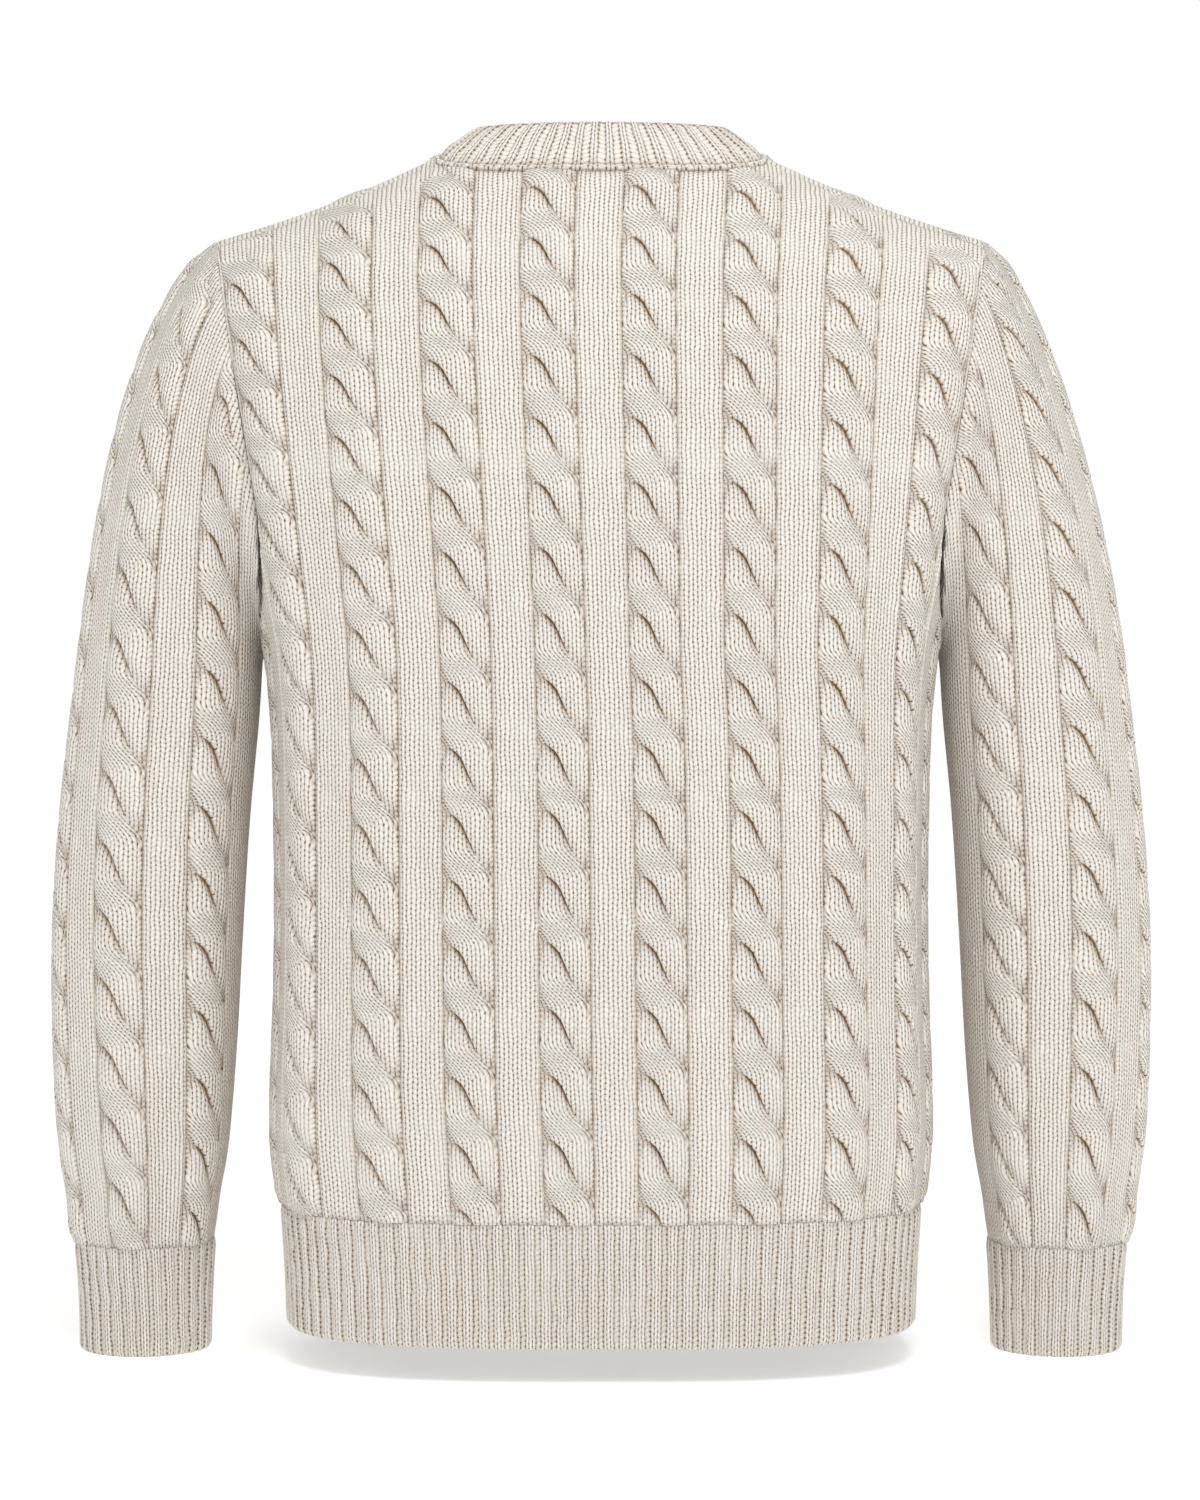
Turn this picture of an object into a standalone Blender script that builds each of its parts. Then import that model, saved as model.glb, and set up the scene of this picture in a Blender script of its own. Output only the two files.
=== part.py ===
"""Cable knit sweater, filled out as if worn and left hollow.

Its pieces are the ones that are knitted and linked together: a back, a front, two set-in
sleeves, two ribbed cuffs, a ribbed hem and a ribbed neckband. Each is a wall with a plain
inside, and its cables or ribs are raised in the points of its outside.

+Z is up, the back faces -Y, and +X is the wearer's right. The origin lies on the middle
line, level with the neck ends of the shoulders, where the wearer holds the sweater up.
Heights below are measured up from the hem's edge, and the finished pieces are lowered.
"""

import math
from collections import namedtuple

import bpy
import numpy as np

# Driving dimensions, in metres
NECK_POINT_HEIGHT = 0.694
HEM_RIB_HEIGHT = 0.0705
UNDERARM_HEIGHT = 0.407
ARMHOLE_RISE = 0.070  # the curve at the foot of the armhole
SHOULDER_SLOPE = 0.375
SHOULDER_DIP = 0.0035  # how far the shoulder hangs between the neck and its tip
NECK_HALF_WIDTH = 0.0988
SHOULDER_HALF_WIDTH = 0.2307
WALL = 0.0024
SEAM_GAP = 0.0003

# The stitch pattern: a panel is ten repeats wide, each a cable with plain wales beside it
SIDE_SEAM = 5.0  # repeats from the middle of a panel to its side seam
ARMHOLE = 3.80  # and to the straight part of its armhole
CABLE_SHARE = 0.528  # of a repeat
CABLE_HEIGHT = 0.0042
BODY_CROSSING = 0.0372  # from one crossing of a cable to the next
SLEEVE_CROSSING = 0.0402
FIRST_CROSSING = 0.0110  # the lowest crossing's groove, above the rib
FIRST_SLEEVE_CROSSING = 0.0240
# How far the crossings of some cables lie above or below those of the others
PANEL_SHIFTS = {-4.5: -0.020, -3.5: -0.018, -2.5: -0.008, -1.5: -0.002, 3.5: -0.005, 4.5: -0.008}
SLEEVE_SHIFTS = {"left": {1: 0.017, 2: -0.002}, "right": {-2: 0.003, -1: 0.005}}
SEAM_RELIEF = 0.45  # how much of its height a cable keeps where it runs into a seam
RIB_HEIGHT = 0.0013

# Roundness of the body: powers of the superellipses of its level and upright sections
GIRTH_POWER = 3.05
SHOULDER_POWER = 2.15
MEAN_FLATNESS = 0.68  # half depth over half width

# Where the wales of each panel end, in degrees of the shoulder's arch from the front or back
BACK_SEAM_TURN = 78.0
FRONT_SEAM_TURN = 180.0 - BACK_SEAM_TURN
BACK_NECK_TURN = 61.2
FRONT_NECK_TURN = 40.0
BACK_NECK_POWER = 2.2
FRONT_NECK_POWER = 2.6

# The body's level sections; lean is how far the back's middle wales drift aside, in repeats,
# and gather the share by which a panel's middle wales lie closer than those at its sides
BodyLevel = namedtuple("BodyLevel", "height half_width half_depth lean gather")
BODY_LEVELS = (
    BodyLevel(0.000, 0.1855, 0.1315, 0.175, 0.025),
    BodyLevel(0.035, 0.1870, 0.1320, 0.172, 0.025),
    BodyLevel(0.0705, 0.1895, 0.1330, 0.168, 0.025),
    BodyLevel(0.110, 0.1933, 0.1345, 0.158, 0.025),
    BodyLevel(0.140, 0.1931, 0.1345, 0.143, 0.014),
    BodyLevel(0.190, 0.1913, 0.1340, 0.129, 0.002),
    BodyLevel(0.300, 0.1911, 0.1330, 0.113, 0.002),
    BodyLevel(0.363, 0.1933, 0.1325, 0.090, 0.022),
    BodyLevel(0.390, 0.1961, 0.1322, 0.072, 0.042),
    BodyLevel(0.407, 0.1987, 0.1320, 0.062, 0.054),
)

# The sleeve's level sections, the same for both arms
SleeveLevel = namedtuple("SleeveLevel", "height centre half_width half_depth")
SLEEVE_LEVELS = (
    SleeveLevel(-0.0204, 0.2741, 0.0376, 0.0395),
    SleeveLevel(0.0100, 0.2741, 0.0384, 0.0405),
    SleeveLevel(0.0445, 0.2744, 0.0409, 0.0441),
    SleeveLevel(0.0590, 0.2744, 0.0429, 0.0470),
    SleeveLevel(0.0735, 0.2738, 0.0443, 0.0490),
    SleeveLevel(0.0915, 0.2736, 0.0475, 0.0525),
    SleeveLevel(0.1280, 0.2733, 0.0511, 0.0570),
    SleeveLevel(0.1640, 0.2726, 0.0530, 0.0595),
    SleeveLevel(0.2180, 0.2714, 0.0546, 0.0615),
    SleeveLevel(0.3080, 0.2658, 0.0547, 0.0630),
    SleeveLevel(0.3630, 0.2602, 0.0541, 0.0640),
    SleeveLevel(0.3900, 0.2578, 0.0533, 0.0645),
)
LEANING = 3.75  # repeats from the middle within which wales drift
LEAN_TURN = (1.2, 4.2)  # how the drift turns back on the way from the underarm to the ridge
LEAN_END = 0.95  # share of the way to the ridge where the drift ends
LEAN_FADE = 0.25
CUFF_EDGE = SLEEVE_LEVELS[0].height
CUFF_TOP = SLEEVE_LEVELS[2].height
SLEEVE_TUBE_TOP = SLEEVE_LEVELS[-1].height

# Each sleeve has six repeats round it: five cables and a plain one over the underarm seam.
# turn is where its middle cable points, in degrees from the back towards +X, and twist how
# many more it has turned at the hem's edge; fall is the slope at which the sleeve leaves the
# tip of the shoulder, and fullness how far it holds that.
Arm = namedtuple("Arm", "name side turn twist fall fullness")
ARMS = (Arm("left", -1, -81.0, 18.0, 42.0, 0.275), Arm("right", 1, 86.0, -12.0, 48.0, 0.21))
REPEAT_TURN = 60.0
UNDERARM = 3.0  # repeats from a sleeve's middle cable to its underarm seam
CAP_EASE = (0.25, 2.8)  # share and power that spread a sleeve's wales along the armhole
CAP_BEND = 1.2
CAP_REACH = 0.36  # how far a cap's wales hold the run of the tube, of the way to the seam

HEM_RIBS = 120
CUFF_RIBS = 31
BAND_RIB_WIDTH = 0.0104
BAND_TOP_SCALE = (0.71, 0.85)  # the neckband's upper edge against its seam, along X and Y
BAND_RISE = {"back_panel": 0.0305, "front_panel": 0.022, "sides": 0.0170}
BAND_BULGE = 0.0012
BAND_ROWS = (0.0, 0.14, 0.6, 1.0)  # shares of its height
CUFF_MIDDLE = 0.010

MOST_TURN = 13.0  # degrees that a skin turns from one row of points to the next
ROW_MARGIN = 0.006  # kept free of rows beside an edge
CREASE = 0.7  # how sharp a fold makes the walls beside it part
CAP_FADE = 0.03  # over which a sleeve's cables flatten into the armhole

YARN_COLOUR = (0.80, 0.76, 0.69, 1.0)
RIB_COLOUR = (0.78, 0.74, 0.67, 1.0)
YARN_ROUGHNESS = 0.95


def smooth(levels, name, height):
    """The named column of a table at any height, on cubics through its rows."""
    at = np.array([level.height for level in levels])
    value = np.array([getattr(level, name) for level in levels])
    slope = np.gradient(value, at)
    row = np.clip(np.searchsorted(at, height) - 1, 0, len(at) - 2)
    step = at[row + 1] - at[row]
    s = np.clip((height - at[row]) / step, 0.0, 1.0)
    return (
        value[row] * (1 + 2 * s) * (1 - s) ** 2
        + value[row + 1] * s**2 * (3 - 2 * s)
        + step * slope[row] * s * (1 - s) ** 2
        - step * slope[row + 1] * s**2 * (1 - s)
    )


def unit(vectors):
    return vectors / np.linalg.norm(vectors, axis=-1, keepdims=True)


def half_ring():
    """Places along half a superellipse of unit width and depth, by share of its length."""
    angle = np.linspace(-math.pi / 2, math.pi / 2, 1441)
    across = np.sign(np.sin(angle)) * np.abs(np.sin(angle)) ** (2 / GIRTH_POWER)
    back = np.cos(angle).clip(0) ** (2 / GIRTH_POWER)
    along = np.hypot(np.diff(across), MEAN_FLATNESS * np.diff(back)).cumsum()
    return np.append(0, along) / along[-1], across, back


RING_SHARE, RING_ACROSS, RING_BACK = half_ring()


def ring_place(w):
    share = (w / SIDE_SEAM + 1) / 2
    return np.interp(share, RING_SHARE, RING_ACROSS), np.interp(share, RING_SHARE, RING_BACK)


# The body: w counts repeats from the middle of a panel, t runs 0 to 1 from the rib to the
# underarm and on to 2 at the ridge of the shoulder and 3 at the other panel's underarm.


def ridge_height(w):
    x = np.abs(w) * SHOULDER_HALF_WIDTH / ARMHOLE
    out = (x - NECK_HALF_WIDTH) / (SHOULDER_HALF_WIDTH - NECK_HALF_WIDTH)
    over = NECK_POINT_HEIGHT - SHOULDER_SLOPE * (x - NECK_HALF_WIDTH)
    over -= SHOULDER_DIP * np.sin(math.pi * np.clip(out, 0, 1))
    hump = SHOULDER_SLOPE * NECK_HALF_WIDTH / 2 * (1 - (x / NECK_HALF_WIDTH) ** 2)
    return np.where(x > NECK_HALF_WIDTH, over, NECK_POINT_HEIGHT + hump)


def body_places(w, t, lean_scale, bottom=HEM_RIB_HEIGHT + SEAM_GAP / 2):
    """Points of the back's plain surface at the repeat w, for an array of t."""
    height = bottom + (UNDERARM_HEIGHT - bottom) * np.minimum(t, 1)
    turn = np.clip(t - 1, 0, 2) * math.pi / 2
    lift = np.abs(np.sin(turn)) ** (2 / SHOULDER_POWER)
    reach = np.sign(np.cos(turn)) * np.abs(np.cos(turn)) ** (2 / SHOULDER_POWER)
    lean = lean_scale * smooth(BODY_LEVELS, "lean", height)
    left = np.clip((LEAN_END - lift) / LEAN_FADE, 0, 1)
    lean *= (1 - LEAN_TURN[0] * lift - LEAN_TURN[1] * lift**2) * left**2 * (3 - 2 * left)
    drawn = 1 - smooth(BODY_LEVELS, "gather", height) * (1 - (w / SIDE_SEAM) ** 2)
    across, back = ring_place((w + lean * max(0.0, 1 - (w / LEANING) ** 6)) * drawn)
    x = across * smooth(BODY_LEVELS, "half_width", height)
    y = back * smooth(BODY_LEVELS, "half_depth", height)
    x += (w * SHOULDER_HALF_WIDTH / ARMHOLE - x) * lift
    height += (ridge_height(w) - UNDERARM_HEIGHT) * lift
    return np.stack([x, -y * reach, height], axis=-1)


def turn_at_height(w, height):
    """t at which a wale passes a height above the underarm."""
    lift = (height - UNDERARM_HEIGHT) / (ridge_height(w) - UNDERARM_HEIGHT)
    return 1 + math.asin(lift ** (SHOULDER_POWER / 2)) / (math.pi / 2)


def armhole_foot(w):
    """t at which the side wales end on the curved foot of the armhole."""
    across = (SIDE_SEAM - abs(w)) / (SIDE_SEAM - ARMHOLE)
    rise = ARMHOLE_RISE * (1 - math.sqrt(max(0.0, 1 - across**2)))
    return turn_at_height(w, UNDERARM_HEIGHT + rise)


class Wale:
    """One line of stitches on a plain surface: points and outward normals by its length."""

    SAMPLES = 240
    STEP = 0.01

    def __init__(self, place, w, end, low, high, closed=False):
        t = np.linspace(0, end, self.SAMPLES)
        self.w = w
        self.points = place(w, t)
        beside = place(min(w + self.STEP, high), t) - place(max(w - self.STEP, low), t)
        if closed and w in (low, high):
            beside += place(low + self.STEP, t) - place(high - self.STEP, t)
        self.normals = unit(np.cross(beside, np.gradient(self.points, axis=0)))
        if not closed and w in (low, high):
            self.normals = unit(self.normals * (1, 0, 1))
        steps = np.linalg.norm(np.diff(self.points, axis=0), axis=1)
        self.lengths = np.append(0, steps.cumsum())
        self.length = float(self.lengths[-1])

    def at(self, v):
        """The point and the outward normal at a length up the wale."""
        point, normal = (
            np.array([np.interp(v, self.lengths, column) for column in track.T])
            for track in (self.points, self.normals)
        )
        return point, unit(normal)

    def upward(self):
        """The way that its upper end runs."""
        return unit(self.points[-1] - self.points[-2])


class Panel:
    """The plain surface of the front or the back: the front is the back turned about Z."""

    def __init__(self, name, face, lean_scale, seam_turn, neck_turn, neck_power):
        self.name = name
        self.face = face
        self.lean_scale = lean_scale
        self.seam_turn = seam_turn
        self.neck_turn = neck_turn
        self.neck_power = neck_power
        self.wales = {}

    def place(self, w, t):
        return body_places(w, t, self.lean_scale) * (-self.face, -self.face, 1)

    def end(self, w):
        """t at the top of a wale: on the neck, the shoulder seam or the armhole."""
        if abs(w) > ARMHOLE:
            return armhole_foot(w)
        turn = self.seam_turn
        if abs(w) < NECK_REPEATS:
            left = 1 - (abs(w) / NECK_REPEATS) ** self.neck_power
            turn -= (self.seam_turn - self.neck_turn) * math.sqrt(left)
        return 1 + turn / 90

    def wale(self, w):
        if w not in self.wales:
            self.wales[w] = Wale(self.place, w, self.end(w), -SIDE_SEAM, SIDE_SEAM)
        return self.wales[w]


NECK_REPEATS = NECK_HALF_WIDTH * ARMHOLE / SHOULDER_HALF_WIDTH
BACK = Panel("back_panel", -1, 1.0, BACK_SEAM_TURN, BACK_NECK_TURN, BACK_NECK_POWER)
FRONT = Panel("front_panel", 1, 0.0, FRONT_SEAM_TURN, FRONT_NECK_TURN, FRONT_NECK_POWER)


# The armhole: half of it, on the back at +X, by its length down from the tip of the shoulder


def armhole_track():
    """Its points, the body's normals there, and the repeats and t that they lie at."""
    straight_end = turn_at_height(ARMHOLE, UNDERARM_HEIGHT + ARMHOLE_RISE)
    places = [(ARMHOLE, t) for t in np.linspace(2, straight_end, STRAIGHT_SAMPLES)]
    for angle in np.linspace(0, math.pi / 2, FOOT_SAMPLES)[1:]:
        w = SIDE_SEAM - (SIDE_SEAM - ARMHOLE) * math.cos(angle)
        places.append((w, armhole_foot(w)))
    step = 0.002
    points = []
    normals = []
    for w, t in places:
        up = body_places(w, np.array([t - step, t, t + step]), 0)
        beside = body_places(min(w + step, SIDE_SEAM), np.array([t]), 0)[0]
        beside -= body_places(w - step, np.array([t]), 0)[0]
        points.append(up[1])
        normals.append(unit(np.cross(beside, up[2] - up[0])))
    normals[-1][1] = 0
    lengths = np.append(0, np.linalg.norm(np.diff(points, axis=0), axis=1).cumsum())
    return lengths, np.array(points), unit(np.array(normals)), np.array(places)


STRAIGHT_SAMPLES = 161
FOOT_SAMPLES = 61
ARMHOLE_LENGTHS, ARMHOLE_POINTS, ARMHOLE_NORMALS, ARMHOLE_PLACES = armhole_track()
ARMHOLE_LENGTH = ARMHOLE_LENGTHS[-1]
STRAIGHT_END = ARMHOLE_LENGTHS[STRAIGHT_SAMPLES - 1]
SHOULDER_CORNER = float(
    np.interp(
        1 - BACK_SEAM_TURN / 90,
        2 - ARMHOLE_PLACES[:STRAIGHT_SAMPLES, 1],
        ARMHOLE_LENGTHS[:STRAIGHT_SAMPLES],
    )
)


def armhole_row(track, length):
    return np.array([np.interp(length, ARMHOLE_LENGTHS, column) for column in track.T])


def armhole_length(w):
    """How far down the armhole a side wale of a panel ends."""
    foot = slice(STRAIGHT_SAMPLES - 1, None)
    return float(np.interp(abs(w), ARMHOLE_PLACES[foot, 0], ARMHOLE_LENGTHS[foot]))


def cap_length(w):
    """How far down the armhole a wale of a sleeve ends."""
    share, power = CAP_EASE
    part = min(abs(w) / UNDERARM, 1)
    return ARMHOLE_LENGTH * (share * part + (1 - share) * part**power)


class Sleeve:
    """The plain surface of a sleeve: t runs 0 to 1 up its tube and on to 2 at the armhole."""

    def __init__(self, arm):
        self.name = f"sleeve_{arm.name}"
        self.arm = arm
        self.side = arm.side
        self.wales = {}

    def on_back(self, w):
        return w * self.side <= 0

    def tube(self, w, height):
        twist = self.arm.twist * (1 - height / SLEEVE_TUBE_TOP)
        turn = np.radians(self.arm.turn + twist + w * REPEAT_TURN)
        centre = self.side * smooth(SLEEVE_LEVELS, "centre", height)
        x = centre + smooth(SLEEVE_LEVELS, "half_width", height) * np.sin(turn)
        y = -smooth(SLEEVE_LEVELS, "half_depth", height) * np.cos(turn)
        return np.stack([x, y, height], axis=-1)

    def place(self, w, t):
        bottom = CUFF_TOP + SEAM_GAP / 2
        tube = self.tube(w, bottom + (SLEEVE_TUBE_TOP - bottom) * np.minimum(t, 1))
        below, top = self.tube(w, np.array([SLEEVE_TUBE_TOP - 0.01, SLEEVE_TUBE_TOP]))
        seam = armhole_row(ARMHOLE_POINTS, cap_length(w))
        seam = seam * (self.side, 1 if self.on_back(w) else -1, 1)
        steep = (abs(w) / UNDERARM) ** CAP_BEND
        fall = math.radians(self.arm.fall + (90 - self.arm.fall) * steep)
        span = np.linalg.norm(seam - top)
        leaving = np.array([self.side * math.cos(fall), 0, -math.sin(fall)])
        low = top + unit(top - below) * CAP_REACH * span
        high = seam + leaving * self.arm.fullness * span
        s = np.clip(t - 1, 0, 1)[:, None]
        cap = top * (1 - s) ** 3 + low * 3 * s * (1 - s) ** 2
        cap += high * 3 * s**2 * (1 - s) + seam * s**3
        return np.where(s > 0, cap, tube)

    def wale(self, w):
        if w not in self.wales:
            self.wales[w] = Wale(self.place, w, 2, -UNDERARM, UNDERARM, closed=True)
        return self.wales[w]


# Seams: the pieces on both sides share one line of points and stand off it by half the gap

Joint = namedtuple("Joint", "point across body_way sleeve_way")


def armhole_joint(sleeve, length, on_back):
    """A place on an armhole, the way across it, and the ways in through both its walls.

    Where the pieces go on in one line or turn over a ridge, they share the way in. In a
    crease, where they fold down beside each other, each keeps its own.
    """
    flip = np.array([sleeve.side, 1 if on_back else -1, 1])
    point = armhole_row(ARMHOLE_POINTS, length) * flip
    body_normal = unit(armhole_row(ARMHOLE_NORMALS, length)) * flip
    step = 0.001
    ahead = armhole_row(ARMHOLE_POINTS, length + step)
    tangent = unit(ahead - armhole_row(ARMHOLE_POINTS, length - step)) * flip
    if length < step:
        tangent = np.array([0.0, 1.0, 0.0])
    w_body, t_body = armhole_row(ARMHOLE_PLACES, length)
    body_inside = body_places(w_body - 0.05, np.array([t_body - 0.03]), 0)[0] * flip - point
    parts = np.linspace(0, UNDERARM, 601)
    part = float(np.interp(length, [cap_length(each) for each in parts], parts))
    wale = sleeve.wale(-part * sleeve.side if on_back else part * sleeve.side)
    sleeve_normal = wale.at(wale.length)[1]
    sleeve_inside = wale.at(wale.length - 0.006)[0] - point
    into_body = np.cross(body_normal, tangent)
    into_body = unit(into_body * np.sign(into_body @ body_inside))
    into_sleeve = np.cross(sleeve_normal, tangent)
    into_sleeve = unit(into_sleeve * np.sign(into_sleeve @ sleeve_inside))
    across = unit(into_sleeve - into_body + body_normal - sleeve_normal)
    shared = unit(body_normal + sleeve_normal + 1e-6 * across)
    crease = min(max((body_normal - sleeve_normal) @ across / CREASE, 0), 1)
    body_way = unit(shared * (1 - crease) + body_normal * crease)
    sleeve_way = unit(shared * (1 - crease) + sleeve_normal * crease)
    return Joint(point, across, body_way, sleeve_way)


class Seams:
    """The joints of one armhole, found by the half of it and the length down it."""

    def __init__(self, sleeve, panel_tracks, sleeve_tracks):
        feet = [armhole_length(track.w) for track in panel_tracks if track.w > ARMHOLE]
        self.joints = {}
        for on_back in (True, False):
            tops = [cap_length(t.w) for t in sleeve_tracks if sleeve.on_back(t.w) == on_back]
            lengths = {round(length, 7) for length in [0, STRAIGHT_END, *feet, *tops]}
            if on_back:
                lengths.add(round(SHOULDER_CORNER, 7))
            for length in sorted(lengths):
                self.joints[on_back, length] = armhole_joint(sleeve, length, on_back)

    def get(self, on_back, length):
        return self.joints[on_back, round(length, 7)]

    def between(self, on_back, low, high):
        """Lengths strictly between two, going up the armhole."""
        low, high = low + 1e-6, high - 1e-6
        found = [length for half, length in self.joints if half == on_back and low < length < high]
        return sorted(found, reverse=True)

    def up(self, on_back, start):
        """Places from a length up to the tip of the shoulder."""
        return [(on_back, length) for length in (*self.between(on_back, 0, start), 0)]

    def down_to_corner(self):
        """Places from the tip down the back to the shoulder seam."""
        down = self.between(True, 0, SHOULDER_CORNER)[::-1]
        return [(True, length) for length in (*down, SHOULDER_CORNER)]


# The stitch pattern as tracks: wales that carry points, each a place across a cable.
# lag is how far up the strand has crossed there, in crossings, and crest and groove are
# the heights of the strand and of the tuck between two strands, in cable heights.

Strand = namedtuple("Strand", "across lag crest groove")
STRANDS = (
    Strand(0.00, 0.00, 0.00, 0.00),
    Strand(0.25, 0.08, 0.92, 0.35),
    Strand(0.50, 0.39, 1.00, 0.45),
    Strand(0.75, 0.76, 0.92, 0.35),
    Strand(1.00, 0.90, 0.00, 0.00),
)
Track = namedtuple("Track", "w cable lag crest groove")


def tracks(cables, plain):
    found = [Track(w, None, 0.0, 0.0, 0.0) for w in plain]
    for cable in cables:
        for strand in STRANDS:
            w = cable + (strand.across - 0.5) * CABLE_SHARE
            found.append(Track(w, cable, strand.lag, strand.crest, strand.groove))
    return sorted(found)


BETWEEN_UNDERARM = 2.632
PANEL_TRACKS = tracks(np.arange(-4.5, 5).tolist(), (-SIDE_SEAM, -ARMHOLE, ARMHOLE, SIDE_SEAM))
SLEEVE_TRACKS = tracks(
    (-2, -1, 0, 1, 2),
    (-UNDERARM, -BETWEEN_UNDERARM, -1.5, -0.5, 0.5, 1.5, BETWEEN_UNDERARM, UNDERARM),
)


class Wall:
    """A closed wall: an outer and an inner skin, and rims from edge to edge.

    Each skin is sewn up from columns of points. Edge points of the outer skin are paired
    with points of the inner one.
    """

    def __init__(self, name):
        self.name = name
        self.points = []
        self.faces = []
        self.outer_edges = set()
        self.pairs = {}

    def add(self, point):
        self.points.append(point)
        return len(self.points) - 1

    def add_pair(self, point, way, lift=0.0):
        """An edge point lifted off the plain surface, and the one through the wall from it."""
        outer = self.add(point + way * lift)
        self.pairs[outer] = self.add(point - way * WALL)
        return outer, self.pairs[outer]

    def sew(self, left, right, inner=False, tail=None):
        """Faces between two columns of (key, point), climbing both by key.

        tail says which of them goes on along the wall's edge: then the other's top waits.
        """
        i = j = 0
        while i < len(left) - 1 or j < len(right) - 1:
            left_key = left[i + 1][0] if i < len(left) - 1 else math.inf
            right_key = right[j + 1][0] if j < len(right) - 1 else math.inf
            left_waits = tail == "right" and i == len(left) - 2 and j < len(right) - 1
            right_waits = tail == "left" and j == len(right) - 2 and i < len(left) - 1
            climb_left = (left_key <= right_key or right_waits) and not left_waits
            if climb_left:
                face = (left[i][1], right[j][1], left[i + 1][1])
                i += 1
            else:
                face = (left[i][1], right[j][1], right[j + 1][1])
                j += 1
            self.add_face(face, inner)

    def add_face(self, face, inner):
        self.faces.append(face[::-1] if inner else face)
        if not inner:
            self.outer_edges.update(zip(face, face[1:] + face[:1]))

    def close(self):
        """Rims along every edge of the outer skin."""
        after = {a: b for a, b in self.outer_edges if (b, a) not in self.outer_edges}
        while after:
            run = [next(a for a in after if a in self.pairs)]
            while run[-1] in after:
                run.append(after.pop(run[-1]))
                if run[-1] in self.pairs:
                    self.close_run(run)
                    run = [run[-1]]

    def close_run(self, run):
        """A stretch of rim between two paired points of the outer edge."""
        first, last = self.pairs[run[0]], self.pairs[run[-1]]
        middle = len(run) // 2
        for number, (a, b) in enumerate(zip(run, run[1:]), start=1):
            self.faces.append((b, a, first if number <= middle else last))
            if number == middle:
                self.faces.append((b, first, last))

    def build(self, material):
        """The Blender object of the wall."""
        self.close()
        mesh = bpy.data.meshes.new(self.name)
        lowered = np.array(self.points) - (0, 0, NECK_POINT_HEIGHT)
        mesh.from_pydata(lowered.tolist(), [], self.faces)
        mesh.materials.append(material)
        bpy.context.collection.objects.link(bpy.data.objects.new(self.name, mesh))


def rows_of(track, wale, crossing, first):
    """(v, lift) of the points up a track, without its two ends."""
    fineness = 2 if track.crest else 1
    low = (ROW_MARGIN - first) / crossing + track.lag
    high = (wale.length - ROW_MARGIN - first) / crossing + track.lag
    rows = []
    for number in range(math.ceil(low * fineness), math.floor(high * fineness) + 1):
        share = track.crest if number % 2 else track.groove
        v = first + crossing * (number / fineness - track.lag)
        rows.append((v, share * CABLE_HEIGHT))
    return rows


def refined(rows, wale):
    """The rows with more between them wherever the surface turns too far."""
    found = [rows[0]]
    for low, high in zip(rows, rows[1:]):
        turn = math.acos(min(1.0, wale.at(low[0])[1] @ wale.at(high[0])[1]))
        pieces = max(1, math.ceil(turn / math.radians(MOST_TURN)))
        for number in range(1, pieces + 1):
            share = number / pieces
            found.append(tuple(a + (b - a) * share for a, b in zip(low, high)))
    return found


class Column:
    """The points of one track on both skins, as rows of (v, point)."""

    def __init__(self, track, outer=(), inner=()):
        self.track = track
        self.outer = list(outer)
        self.inner = list(inner)

    def add_pair(self, v, pair):
        self.outer.append((v, pair[0]))
        self.inner.append((v, pair[1]))

    def below(self, v):
        """The same column, ended at v."""
        rows = [[row for row in skin if row[0] <= v] for skin in (self.outer, self.inner)]
        return Column(self.track, *rows)

    @property
    def top(self):
        return self.outer[-1][0]


def sew_columns(wall, left, right, crossing, tail=None, extra=()):
    """Both skins between two columns. extra is the (v, pair)s of the tail, going on up."""
    lags = (left.track.lag, right.track.lag)
    if left.track.cable is None or left.track.cable != right.track.cable:
        lags = (0, 0)
    for skin, inner in (("outer", False), ("inner", True)):
        sides = [[], []]
        for side, column, lag in zip(sides, (left, right), (0, 0) if inner else lags):
            side += [(v / crossing + lag, index) for v, index in getattr(column, skin)]
            if tail == ("left", "right")[side is sides[1]]:
                side += [(v / crossing + lag, pair[inner]) for v, pair in extra]
        wall.sew(*sides, inner, tail)


def tail_rows(low, high, lengths, span, pairs):
    """The (v, pair)s of seam points between the tops of two columns, which end at span."""
    rows = []
    for length, pair in zip(lengths, pairs):
        share = (span[0] - length) / (span[0] - span[1])
        rows.append((low + (high - low) * share, pair))
    return rows


def start_column(wall, track, wale, crossing, first, fade=lambda v: 1.0, side_shift=None):
    """A column from its lower edge up to, but not at, its upper one.

    A column along a side seam is all edge: its points are paired and shifted off the seam.
    """
    column = Column(track)
    point, normal = wale.at(0)
    way = unit(normal * (1, 1, 0))
    shift = 0 if side_shift is None else side_shift
    foot = wall.add_pair(point + shift, way, SEAM_RELIEF * track.crest * CABLE_HEIGHT)
    column.add_pair(0, foot)
    ends = [(0.0, 0.0), (wale.length, 0.0)]
    rows = refined([ends[0], *rows_of(track, wale, crossing, first), ends[1]], wale)[1:-1]
    if side_shift is not None:
        for v, _ in rows:
            point, normal = wale.at(v)
            column.add_pair(v, wall.add_pair(point + shift, normal))
        return column
    for v, lift in rows:
        point, normal = wale.at(v)
        column.outer.append((v, wall.add(point + normal * lift * fade(v))))
    plain = track._replace(lag=0.0, crest=0.0)
    rows = refined([ends[0], *rows_of(plain, wale, 2 * crossing, first), ends[1]], wale)[1:-1]
    for v, _ in rows:
        point, normal = wale.at(v)
        column.inner.append((v, wall.add(point - normal * WALL)))
    return column


# The neckline: its joints, going round by the back from -X to +X and on by the front

NeckJoint = namedtuple("NeckJoint", "point across way lift")


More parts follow.
